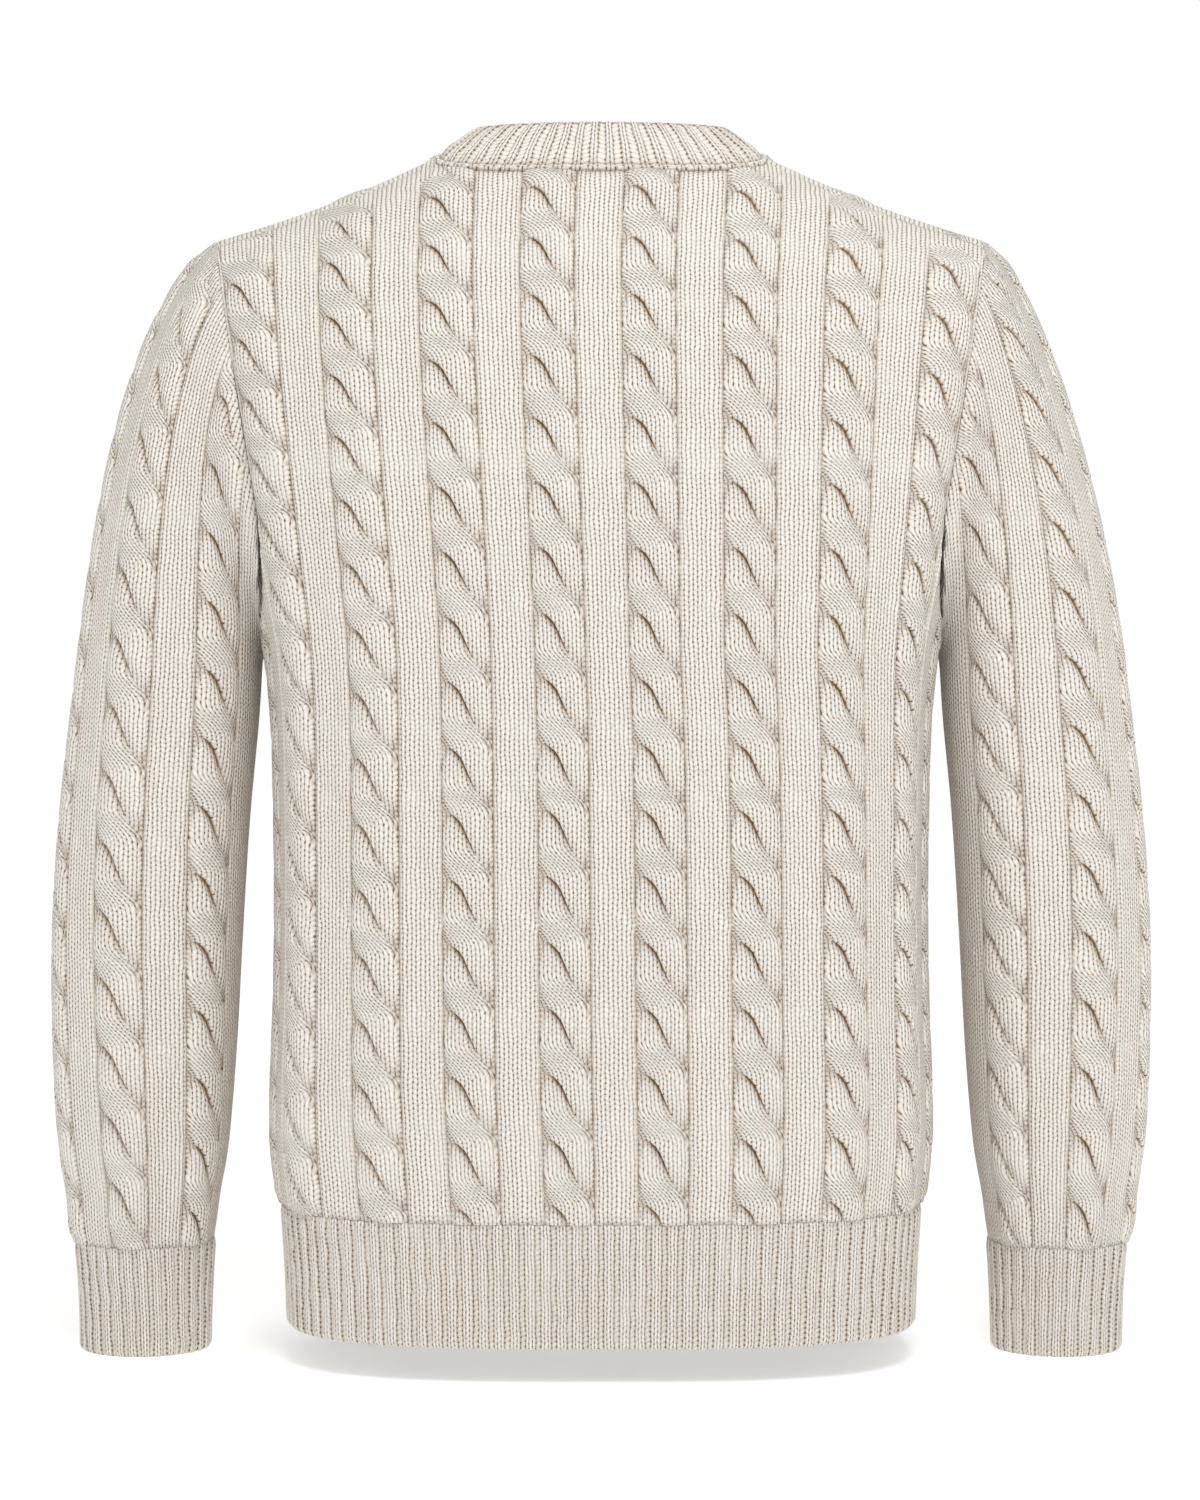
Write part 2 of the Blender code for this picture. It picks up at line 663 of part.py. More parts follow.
def neck_stations(panel):
    """(w, lift) along the neckline of a panel, ending at the corners with the shoulders."""
    crests = {t.w: t.crest for t in PANEL_TRACKS if abs(t.w) < NECK_REPEATS}
    if panel is FRONT:
        for turn in FRONT_NECK_SIDE_TURNS:
            depth = (FRONT_SEAM_TURN - turn) / (FRONT_SEAM_TURN - FRONT_NECK_TURN)
            w = NECK_REPEATS * (1 - depth**2) ** (1 / FRONT_NECK_POWER)
            crests.update({w: 0.0, -w: 0.0})
    stations = [(w, SEAM_RELIEF * crest * CABLE_HEIGHT) for w, crest in sorted(crests.items())]
    return [(-NECK_REPEATS, 0.0), *stations, (NECK_REPEATS, 0.0)]


def neck_joints():
    places = [(BACK, w, lift) for w, lift in neck_stations(BACK)]
    places += [(FRONT, w, lift) for w, lift in neck_stations(FRONT)[1:-1]]
    ends = [panel.wale(w).at(math.inf) for panel, w, _ in places]
    joints = {}
    for number, (panel, w, lift) in enumerate(places):
        point, normal = ends[number]
        ahead = ends[(number + 1) % len(ends)][0]
        across = unit(np.cross(normal, ahead - ends[number - 1][0]))
        joints[panel.name, w] = NeckJoint(point, across, normal, lift)
    for side in (-1, 1):
        joints[FRONT.name, side * NECK_REPEATS] = joints[BACK.name, -side * NECK_REPEATS]
    return joints


FRONT_NECK_SIDE_TURNS = (89.0, 95.5)
NECK_JOINTS = neck_joints()


def panel_wall(panel, seams):
    """A panel from the hem's rib to the neck, the shoulders and the armholes."""
    wall = Wall(panel.name)
    on_back = panel is BACK
    half_gap = SEAM_GAP / 2
    columns = []
    foot_tops = {}

    def v_at(wale, t):
        return float(np.interp(t, np.linspace(0, panel.end(wale.w), Wale.SAMPLES), wale.lengths))

    def armhole_pair(side, half, length, shift=0):
        joint = seams[side].get(half, length)
        return wall.add_pair(joint.point - joint.across * half_gap + shift, joint.body_way)

    for track in PANEL_TRACKS:
        wale = panel.wale(track.w)
        side = (1 if track.w > 0 else -1) * -panel.face
        at_side = abs(track.w) == SIDE_SEAM
        shift = np.array([0, panel.face * half_gap, 0]) if at_side else None
        first = FIRST_CROSSING + PANEL_SHIFTS.get(track.cable, 0)
        column = start_column(wall, track, wale, BODY_CROSSING, first, side_shift=shift)
        if abs(track.w) > ARMHOLE:
            length = armhole_length(track.w)
            foot_tops[track.w] = length
            top_shift = shift if at_side else 0
            column.add_pair(wale.length, armhole_pair(side, on_back, length, top_shift))
        elif abs(track.w) == ARMHOLE:
            joined = v_at(wale, armhole_row(ARMHOLE_PLACES, STRAIGHT_END)[1])
            column = column.below(joined - ROW_MARGIN)
            foot_tops[track.w] = STRAIGHT_END
            stations = [(on_back, STRAIGHT_END), *seams[side].up(on_back, STRAIGHT_END)]
            if on_back:
                stations = [each for each in stations if each[1] > SHOULDER_CORNER - 1e-6]
            else:
                stations += seams[side].down_to_corner()
            for half, length in stations:
                t = armhole_row(ARMHOLE_PLACES, length)[1]
                v = v_at(wale, t if half == on_back else 4 - t)
                corner = half and abs(length - SHOULDER_CORNER) < 1e-6
                lowered = -wale.upward() * half_gap if corner else 0
                column.add_pair(v, armhole_pair(side, half, length, lowered))
            column.joined = column.below(joined + 1e-6)
        elif abs(track.w) > NECK_REPEATS:
            point, normal = wale.at(wale.length)
            lift = SEAM_RELIEF * track.crest * CABLE_HEIGHT
            pair = wall.add_pair(point - wale.upward() * half_gap, normal, lift)
            column.add_pair(wale.length, pair)
        else:
            joint = NECK_JOINTS[panel.name, track.w]
            pair = wall.add_pair(joint.point - joint.across * half_gap, joint.way, joint.lift)
            column.add_pair(wale.length, pair)
        columns.append(column)

    for left, right in zip(columns, columns[1:]):
        tail, extra = None, ()
        inner_w, outer_w = sorted((left.track.w, right.track.w), key=abs)
        low_side = "right" if abs(right.track.w) > abs(left.track.w) else "left"
        side = (1 if outer_w > 0 else -1) * -panel.face
        if abs(inner_w) >= ARMHOLE:
            left, right = (getattr(each, "joined", each) for each in (left, right))
            span = (foot_tops[outer_w], foot_tops[inner_w])
            lengths = seams[side].between(on_back, span[1], span[0])
            pairs = [armhole_pair(side, on_back, length) for length in lengths]
            low, high = (right.top, left.top) if low_side == "right" else (left.top, right.top)
            tail, extra = low_side, tail_rows(low, high, lengths, span, pairs)
        elif abs(inner_w) < NECK_REPEATS < abs(outer_w):
            tail = "left" if low_side == "right" else "right"
            sign = 1 if outer_w > 0 else -1
            extra = []
            for w, _ in neck_stations(panel):
                if abs(inner_w) < w * sign <= NECK_REPEATS:
                    joint = NECK_JOINTS[panel.name, w]
                    wale = panel.wale(w)
                    shift = -joint.across * half_gap
                    if w * sign == NECK_REPEATS:
                        shift = shift - wale.upward() * half_gap
                    extra.append((wale.length, wall.add_pair(joint.point + shift, joint.way)))
            extra.sort(key=lambda row: row[0])
        sew_columns(wall, left, right, BODY_CROSSING, tail if extra else None, extra)
    return wall


def sleeve_wall(sleeve, seams):
    """A sleeve from the cuff to its armhole, knitted up its tube and over the cap."""
    wall = Wall(sleeve.name)
    half_gap = SEAM_GAP / 2

    def armhole_pair(half, length):
        joint = seams.get(half, length)
        return wall.add_pair(joint.point + joint.across * half_gap, joint.sleeve_way)

    columns = []
    for track in SLEEVE_TRACKS[:-1]:
        wale = sleeve.wale(track.w)
        column = start_column(
            wall,
            track,
            wale,
            SLEEVE_CROSSING,
            FIRST_SLEEVE_CROSSING + SLEEVE_SHIFTS[sleeve.arm.name].get(track.cable, 0),
            fade=lambda v, end=wale.length: min(1.0, (end - v) / CAP_FADE),
        )
        column.add_pair(wale.length, armhole_pair(sleeve.on_back(track.w), cap_length(track.w)))
        columns.append(column)
    columns.append(Column(SLEEVE_TRACKS[-1], columns[0].outer, columns[0].inner))
    for left, right in zip(columns, columns[1:]):
        low, high = sorted((left, right), key=lambda column: -abs(column.track.w))
        half = sleeve.on_back(low.track.w)
        span = (cap_length(low.track.w), cap_length(high.track.w))
        lengths = seams.between(half, span[1], span[0])
        pairs = [armhole_pair(half, length) for length in lengths]
        extra = tail_rows(low.top, high.top, lengths, span, pairs)
        tail = "left" if low is left else "right"
        sew_columns(wall, left, right, SLEEVE_CROSSING, tail if extra else None, extra)
    return wall


def ribbed_tube(name, rings, inner_step):
    """A ribbed ring of the pieces: rings are (points, ways) from its lower edge to its upper."""
    wall = Wall(name)
    count = len(rings[0][0])
    outer = []
    inner = {}
    for j in range(count):
        lift = 0 if j % 2 else RIB_HEIGHT
        outer.append([(row, wall.add(p[j] + n[j] * lift)) for row, (p, n) in enumerate(rings)])
        if j % inner_step == 0:
            edges = (0, len(rings) - 1)
            inner[j] = [(row, wall.add(rings[row][0][j] - rings[row][1][j] * WALL)) for row in edges]
            for row, index in inner[j]:
                wall.pairs[outer[j][row][1]] = index
    for j in range(count):
        wall.sew(outer[j], outer[(j + 1) % count])
    starts = sorted(inner)
    for a, b in zip(starts, starts[1:] + starts[:1]):
        wall.sew(inner[a], inner[b], inner=True)
    return wall


def flat_normals(points):
    """Level outward normals of a ring that runs round with the piece on its left."""
    along = np.roll(points, -1, axis=0) - np.roll(points, 1, axis=0)
    return unit(np.stack([along[:, 1], -along[:, 0], 0 * along[:, 0]], axis=-1))


def hem_ring(height):
    w = -SIDE_SEAM + 2 * SIDE_SEAM * np.arange(HEM_RIBS) / HEM_RIBS
    across, back = ring_place(w)
    x = across * smooth(BODY_LEVELS, "half_width", height)
    y = -back * smooth(BODY_LEVELS, "half_depth", height)
    half = np.stack([x, y, height + 0 * x], axis=-1)
    points = np.concatenate([half, half * (-1, -1, 1)])
    return points, flat_normals(points)


def cuff_ring(sleeve, height):
    w = -UNDERARM + UNDERARM * np.arange(2 * CUFF_RIBS) / CUFF_RIBS
    points = np.array([sleeve.tube(each, np.array([height]))[0] for each in w])
    return points, flat_normals(points)


def neckband_wall():
    """The neckband, linked to the necks of both panels and drawn in by its ribs."""
    wall = Wall("neckband")
    half_gap = SEAM_GAP / 2
    loop = [(panel, w) for panel in (BACK, FRONT) for w, _ in neck_stations(panel)[:-1]]
    joints = [NECK_JOINTS[panel.name, w] for panel, w in loop]
    lowest = {}
    for (panel, _), joint in zip(loop, joints):
        lowest[panel] = min(lowest.get(panel, math.inf), joint.point[2])
    rises = []
    for (panel, _), joint in zip(loop, joints):
        share = (joint.point[2] - lowest[panel]) / (NECK_POINT_HEIGHT - lowest[panel])
        rises.append(BAND_RISE[panel.name] + (BAND_RISE["sides"] - BAND_RISE[panel.name]) * share)
    outer_feet = [joint.point + joint.across * half_gap + joint.way * joint.lift for joint in joints]
    inner_feet = [joint.point + joint.across * half_gap - joint.way * WALL for joint in joints]
    count = len(joints)
    spans = [np.linalg.norm(outer_feet[(i + 1) % count] - outer_feet[i]) for i in range(count)]
    pieces = [max(1, round(2 * span / BAND_RIB_WIDTH)) for span in spans]
    pieces[-1] += sum(pieces) % 2
    feet = []
    climbs = []
    owners = []
    for i in range(count):
        for piece in range(pieces[i]):
            share = piece / pieces[i]
            j = (i + 1) % count
            feet.append(outer_feet[i] * (1 - share) + outer_feet[j] * share)
            climbs.append(rises[i] * (1 - share) + rises[j] * share)
            owners.append(None if piece else i)
    feet = np.array(feet)
    heads = feet * (*BAND_TOP_SCALE, 1) + np.outer(climbs, (0, 0, 1))
    around = np.roll(feet, -1, axis=0) - np.roll(feet, 1, axis=0)
    facing = unit(np.cross(around, heads - feet))
    columns = []
    inner = []
    for j in range(len(feet)):
        column = []
        for share in BAND_ROWS:
            bulge = BAND_BULGE * math.sin(math.pi * share)
            lift = 0 if j % 2 or share == 0 else RIB_HEIGHT
            point = feet[j] + (heads[j] - feet[j]) * share + facing[j] * (bulge + lift)
            column.append((share, wall.add(point)))
        columns.append(column)
        if owners[j] is not None:
            foot = wall.add(inner_feet[owners[j]])
            head = wall.add(heads[j] - facing[j] * WALL)
            inner.append([(0, foot), (1, head)])
            wall.pairs[column[0][1]] = foot
            wall.pairs[column[-1][1]] = head
    for left, right in zip(columns, columns[1:] + columns[:1]):
        wall.sew(left, right)
    for left, right in zip(inner, inner[1:] + inner[:1]):
        wall.sew(left, right, inner=True)
    return wall


def yarn(name, colour):
    material = bpy.data.materials.new(name)
    material.use_nodes = True
    shader = material.node_tree.nodes["Principled BSDF"]
    shader.inputs["Base Color"].default_value = colour
    shader.inputs["Roughness"].default_value = YARN_ROUGHNESS
    return material


for old in list(bpy.data.objects):
    bpy.data.objects.remove(old)

half_joint = SEAM_GAP / 2
sleeves = {arm.side: Sleeve(arm) for arm in ARMS}
armholes = {side: Seams(sleeve, PANEL_TRACKS, SLEEVE_TRACKS) for side, sleeve in sleeves.items()}
for panel in (BACK, FRONT):
    panel_wall(panel, armholes).build(yarn(f"{panel.name}_yarn", YARN_COLOUR))
for arm in ARMS:
    sleeve = sleeves[arm.side]
    sleeve_wall(sleeve, armholes[arm.side]).build(yarn(f"{sleeve.name}_yarn", YARN_COLOUR))
    cuff_rings = [cuff_ring(sleeve, h) for h in (CUFF_EDGE, CUFF_MIDDLE, CUFF_TOP - half_joint)]
    ribbed_tube(f"cuff_{arm.name}", cuff_rings, 2).build(yarn(f"cuff_{arm.name}_yarn", RIB_COLOUR))
hem_rings = [hem_ring(h) for h in (0.0, HEM_RIB_HEIGHT / 2, HEM_RIB_HEIGHT - half_joint)]
ribbed_tube("hem_rib", hem_rings, 5).build(yarn("hem_rib_yarn", RIB_COLOUR))
neckband_wall().build(yarn("neckband_yarn", RIB_COLOUR))
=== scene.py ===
import math
from collections import namedtuple

import bpy
import numpy as np
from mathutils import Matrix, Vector


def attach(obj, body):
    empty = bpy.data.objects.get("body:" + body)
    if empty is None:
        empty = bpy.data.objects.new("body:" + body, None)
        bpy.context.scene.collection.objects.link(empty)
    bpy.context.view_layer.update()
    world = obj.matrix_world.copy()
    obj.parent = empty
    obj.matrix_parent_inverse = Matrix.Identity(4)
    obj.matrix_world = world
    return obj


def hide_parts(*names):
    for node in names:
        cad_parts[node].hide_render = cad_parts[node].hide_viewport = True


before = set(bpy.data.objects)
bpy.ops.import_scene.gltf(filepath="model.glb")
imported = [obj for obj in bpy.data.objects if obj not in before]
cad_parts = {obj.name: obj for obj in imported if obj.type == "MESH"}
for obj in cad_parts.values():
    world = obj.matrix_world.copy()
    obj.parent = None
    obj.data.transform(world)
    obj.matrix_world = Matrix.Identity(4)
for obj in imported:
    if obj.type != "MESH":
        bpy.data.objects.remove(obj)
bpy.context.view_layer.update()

# The back: a panel of heavy wool, knitted upwards from the hem in ten repeats of a rope
# cable and five plain wales. It is shaped over the shoulders, round the armholes and at the
# neck, and linked there to the other pieces. Its purl side is the plain inside.

NECK_POINT_HEIGHT = 0.694  # heights are measured up from the hem's edge, and then lowered
HEM_RIB_HEIGHT = 0.0705
UNDERARM_HEIGHT = 0.407
ARMHOLE_RISE = 0.070
SHOULDER_SLOPE = 0.375
SHOULDER_DIP = 0.0035
NECK_HALF_WIDTH = 0.0988
SHOULDER_HALF_WIDTH = 0.2307
WALL = 0.0024
SEAM_GAP = 0.0001

SIDE_SEAM = 5.0  # repeats of the pattern from the middle of a panel to its side seam
ARMHOLE = 3.80  # and to the straight part of its armhole
CABLE_SHARE = 0.528  # of a repeat's width
CABLE_HEIGHT = 0.0045
BODY_CROSSING = 0.0372  # from one crossing of a cable to the next
FIRST_CROSSING = 0.0110
# How far the crossings of some cables lie below those of the others
PANEL_SHIFTS = {-4.5: -0.020, -3.5: -0.018, -2.5: -0.008, -1.5: -0.002, 3.5: -0.005, 4.5: -0.008}
GIRTH_POWER = 3.05  # of the superellipses of the level sections
SHOULDER_POWER = 2.15  # and of the upright ones
MEAN_FLATNESS = 0.68  # half depth over half width
RING_SAMPLES = 2881
NECK_REPEATS = NECK_HALF_WIDTH * ARMHOLE / SHOULDER_HALF_WIDTH

BodyLevel = namedtuple("BodyLevel", "height half_width half_depth lean gather")
BODY_LEVELS = [BodyLevel(*row) for row in (
    (0.000, 0.1855, 0.1315, 0.175, 0.025),
    (0.035, 0.1870, 0.1320, 0.172, 0.025),
    (0.0705, 0.1895, 0.1330, 0.168, 0.025),
    (0.110, 0.1933, 0.1345, 0.158, 0.025),
    (0.140, 0.1931, 0.1345, 0.143, 0.014),
    (0.190, 0.1913, 0.1340, 0.129, 0.002),
    (0.300, 0.1911, 0.1330, 0.113, 0.002),
    (0.363, 0.1933, 0.1325, 0.090, 0.022),
    (0.390, 0.1961, 0.1322, 0.072, 0.042),
    (0.407, 0.1987, 0.1320, 0.062, 0.054),
)]
LEANING = 3.75  # repeats from the middle within which wales drift
LEAN_TURN = (1.2, 4.2)  # how the drift turns back from the underarm to the ridge
LEAN_END = 0.95  # share of the way to the ridge where the drift ends
LEAN_FADE = 0.25


def smooth(levels, name, height):
    """The named column of a table at any height, on cubics through its rows."""
    at = np.array([level.height for level in levels])
    value = np.array([getattr(level, name) for level in levels])
    slope = np.gradient(value, at)
    row = np.clip(np.searchsorted(at, height) - 1, 0, len(at) - 2)
    step = at[row + 1] - at[row]
    s = np.clip((height - at[row]) / step, 0.0, 1.0)
    return (
        value[row] * (1 + 2 * s) * (1 - s) ** 2
        + value[row + 1] * s**2 * (3 - 2 * s)
        + step * slope[row] * s * (1 - s) ** 2
        - step * slope[row + 1] * s**2 * (1 - s)
    )


def unit(vectors):
    return vectors / np.linalg.norm(vectors, axis=-1, keepdims=True)


def ease(low, high, value):
    """0 up to low, 1 from high, and a smooth rise between."""
    s = np.clip((value - low) / (high - low), 0, 1)
    return s * s * (3 - 2 * s)


def lengths_along(points):
    return np.append(0, np.linalg.norm(np.diff(points, axis=0), axis=1).cumsum())


def found_at(length, lengths, points):
    """The rows of points at one length or at an array of them."""
    return np.stack([np.interp(length, lengths, column) for column in points.T], axis=-1)


def half_ring():
    """Places along half a superellipse of unit width and depth, by share of its length."""
    angle = np.linspace(-math.pi / 2, math.pi / 2, RING_SAMPLES)
    across = np.sign(np.sin(angle)) * np.abs(np.sin(angle)) ** (2 / GIRTH_POWER)
    back = np.cos(angle).clip(0) ** (2 / GIRTH_POWER)
    along = np.hypot(np.diff(across), MEAN_FLATNESS * np.diff(back)).cumsum()
    return np.append(0, along) / along[-1], across, back


RING_SHARE, RING_ACROSS, RING_BACK = half_ring()


def ring_place(w):
    share = (w / SIDE_SEAM + 1) / 2
    return np.interp(share, RING_SHARE, RING_ACROSS), np.interp(share, RING_SHARE, RING_BACK)


def ridge_height(w):
    x = np.abs(w) * SHOULDER_HALF_WIDTH / ARMHOLE
    out = (x - NECK_HALF_WIDTH) / (SHOULDER_HALF_WIDTH - NECK_HALF_WIDTH)
    over = NECK_POINT_HEIGHT - SHOULDER_SLOPE * (x - NECK_HALF_WIDTH)
    over -= SHOULDER_DIP * np.sin(math.pi * np.clip(out, 0, 1))
    hump = SHOULDER_SLOPE * NECK_HALF_WIDTH / 2 * (1 - (x / NECK_HALF_WIDTH) ** 2)
    return np.where(x > NECK_HALF_WIDTH, over, NECK_POINT_HEIGHT + hump)


def body_places(w, t, lean_scale, bottom=HEM_RIB_HEIGHT + SEAM_GAP / 2):
    """The back's surface at w repeats: t is 0 to 1 up to the underarm and 2 at the ridge."""
    height = bottom + (UNDERARM_HEIGHT - bottom) * np.minimum(t, 1)
    turn = np.clip(t - 1, 0, 2) * math.pi / 2
    lift = np.abs(np.sin(turn)) ** (2 / SHOULDER_POWER)
    reach = np.sign(np.cos(turn)) * np.abs(np.cos(turn)) ** (2 / SHOULDER_POWER)
    lean = lean_scale * smooth(BODY_LEVELS, "lean", height)
    left = np.clip((LEAN_END - lift) / LEAN_FADE, 0, 1)
    lean *= (1 - LEAN_TURN[0] * lift - LEAN_TURN[1] * lift**2) * left**2 * (3 - 2 * left)
    drawn = 1 - smooth(BODY_LEVELS, "gather", height) * (1 - (w / SIDE_SEAM) ** 2)
    across, back = ring_place((w + lean * max(0.0, 1 - (w / LEANING) ** 6)) * drawn)
    x = across * smooth(BODY_LEVELS, "half_width", height)
    y = back * smooth(BODY_LEVELS, "half_depth", height)
    x += (w * SHOULDER_HALF_WIDTH / ARMHOLE - x) * lift
    height += (ridge_height(w) - UNDERARM_HEIGHT) * lift
    return np.stack([x, -y * reach, height], axis=-1)


def turn_at_height(w, height):
    lift = (height - UNDERARM_HEIGHT) / (ridge_height(w) - UNDERARM_HEIGHT)
    return 1 + math.asin(lift ** (SHOULDER_POWER / 2)) / (math.pi / 2)


def armhole_foot(w):
    across = (SIDE_SEAM - abs(w)) / (SIDE_SEAM - ARMHOLE)
    rise = ARMHOLE_RISE * (1 - math.sqrt(max(0.0, 1 - across**2)))
    return turn_at_height(w, UNDERARM_HEIGHT + rise)


class Wale:
    """One line of stitches on a smooth surface: points and outward normals by its length."""

    SAMPLES = 640
    STEP = 0.01

    def __init__(self, place, w, end, low, high, closed=False):
        t = np.linspace(0, end, self.SAMPLES)
        self.w = w
        self.t = t
        self.points = place(w, t)
        beside = place(min(w + self.STEP, high), t) - place(max(w - self.STEP, low), t)
        if closed and w in (low, high):
            beside += place(low + self.STEP, t) - place(high - self.STEP, t)
        self.normals = unit(np.cross(beside, np.gradient(self.points, axis=0)))
        if not closed and w in (low, high):
            self.normals = unit(self.normals * (1, 0, 1))
        self.lengths = lengths_along(self.points)
        self.length = float(self.lengths[-1])
        self.joined = None  # where the cloth beyond an armhole's straight part ends on it

    def at(self, v):
        """Points and normals at an array of lengths up the wale."""
        points = found_at(v, self.lengths, self.points)
        return points, unit(found_at(v, self.lengths, self.normals))


class Panel(namedtuple("Panel", "name face lean_scale seam_turn neck_turn neck_power")):
    """The smooth surface of the front or the back: the front is the back turned about Z.

    It ends seam_turn degrees over the shoulder, and neck_turn degrees at the neck's middle.
    """

    def place(self, w, t):
        return body_places(w, t, self.lean_scale) * (-self.face, -self.face, 1)

    def end(self, w):
        if abs(w) > ARMHOLE:
            return armhole_foot(w)
        turn = self.seam_turn
        if abs(w) < NECK_REPEATS:
            left = 1 - (abs(w) / NECK_REPEATS) ** self.neck_power
            turn -= (self.seam_turn - self.neck_turn) * math.sqrt(left)
        return 1 + turn / 90

    def neck_width(self, depth):
        """Repeats from the middle to the neck's edge at a share of the way down the neck."""
        return NECK_REPEATS * (1 - depth**2) ** (1 / self.neck_power)

    def wale(self, w):
        return Wale(self.place, w, self.end(w), -SIDE_SEAM, SIDE_SEAM)


BACK = Panel(
    "back_panel", face=-1, lean_scale=1.0, seam_turn=78.0, neck_turn=61.2, neck_power=2.2
)

# A rope cable: two strands of three wales cross over each other, always the same way. drop
# is how far down, in crossings, the tuck between two strands has run at a place across.
Tuck = namedtuple("Tuck", "across drop")
TUCK = [Tuck(*row) for row in (
    (0.000, 0.000),
    (0.040, 0.000),
    (0.080, 0.000),
    (0.120, 0.003),
    (0.170, 0.012),
    (0.217, 0.028),
    (0.270, 0.058),
    (0.325, 0.094),
    (0.370, 0.135),
    (0.410, 0.180),
    (0.445, 0.235),
    (0.470, 0.283),
    (0.500, 0.340),
    (0.530, 0.396),
    (0.580, 0.490),
    (0.640, 0.590),
    (0.700, 0.680),
    (0.770, 0.760),
    (0.850, 0.825),
    (0.920, 0.865),
    (0.965, 0.885),
    (1.000, 0.900),
)]
# Shares of the way from one tuck to the next at which a strand has rows of points
TUCK_ROWS = (0, 0.013, 0.035, 0.065, 0.105, 0.155, 0.21, 0.27, 0.33, 0.39, 0.45)
TUCK_ROWS += (0.51, 0.57, 0.63, 0.69, 0.75, 0.81, 0.87, 0.92, 0.96, 0.985)
LEGS_A_STRAND = 6.0  # the legs of its stitches, two to a wale
LEGS_A_STRIP = 10.0
COURSE = 0.0029  # the height of a stitch
PLAIN_ROW = 0.006  # between rows of points up a plain wale
INNER_ROW = 0.020  # and up the inside
END_ROOM = 0.0012  # kept free of rows of points beside both ends of a wale
SAME_ROW = 1e-6  # lengths that differ by less belong to one row
GUTTER_LIFT = -0.0007
EXTRA_LIFT = 0.0003  # of a wale that is added to a plain strip
Plain = namedtuple("Plain", "offset lift gutter")  # wales of a strip, from its middle; gutter is the shade painted beside its edge
PLAINS = [Plain(*row) for row in (
    (-0.217, -0.0002, 0.6),
    (-0.198, 0.0007, 0.0),
    (-0.162, 0.0009, 0.0),
    (-0.125, 0.0004, 0.0),
    (0.000, 0.0001, 0.0),
    (0.125, 0.0004, 0.0),
    (0.162, 0.0009, 0.0),
    (0.198, 0.0007, 0.0),
    (0.217, -0.0002, 0.6),
)]
Track = namedtuple("Track", "w middle lift gutter cable tuck", defaults=(0.0, 0.0, None, None))


def pattern_tracks(cables, strips):
    """The wales that carry points: those of the cables and of the plain strips."""
    found = []
    for middle in strips:
        for plain in PLAINS:
            w = middle + plain.offset
            found.append(Track(w, middle, plain.lift, plain.gutter))
    for cable in cables:
        for tuck in TUCK:
            w = cable + (tuck.across - 0.5) * CABLE_SHARE
            found.append(Track(w, cable, cable=cable, tuck=tuck))
    return sorted(found, key=lambda track: track.w)


NOTCH = 0.165  # of a cable's width, which its sides draw in beside each crossing
RIGHT_NOTCH = 0.10  # crossings by which the right side's notches come later
UPPER_EDGE = (0.46, 0.70)  # across, between the strand on top and the one that comes out under it
SECTION_POWERS = (2.2, 0.62)  # how square a cable's section is, and how steep its sides
LIP_REACH = 0.075  # of a strand's length, like all the reaches and fades here
SINK = 0.76  # of its height, which the strand on top loses towards the tuck above
SLIDE = (0.46, 0.30)  # of its height, which the other strand lacks at first, and its reach
TUCK_HEIGHTS = (0.20, 0.54)  # of both strands in the tuck itself
# The shade painted in and beside each tuck: how far its parts reach, where they lie across, and
# how dark they are
LINE_FADES = (0.048, 0.006)  # before the tuck and after it
LINE_SPAN = ((0.09, 0.28), (0.50, 0.62))  # across, where the line comes in and goes out
HOLLOW_FADE = 0.11
HOLLOW_SPAN = ((0.14, 0.40), (0.54, 0.70))
HOLLOW_DARKNESS = 0.38
BELOW_DARKNESS = 0.15
LADDER_WIDTH = 0.045  # of the cable's, at each of its sides, where shade is painted in the gutter


def inset(phi, middle):
    """1 at each crossing's notch beside the cable, and 0 where a strand bulges out between."""
    return (1 - np.abs(np.sin(math.pi * (phi - middle)))) ** 1.7


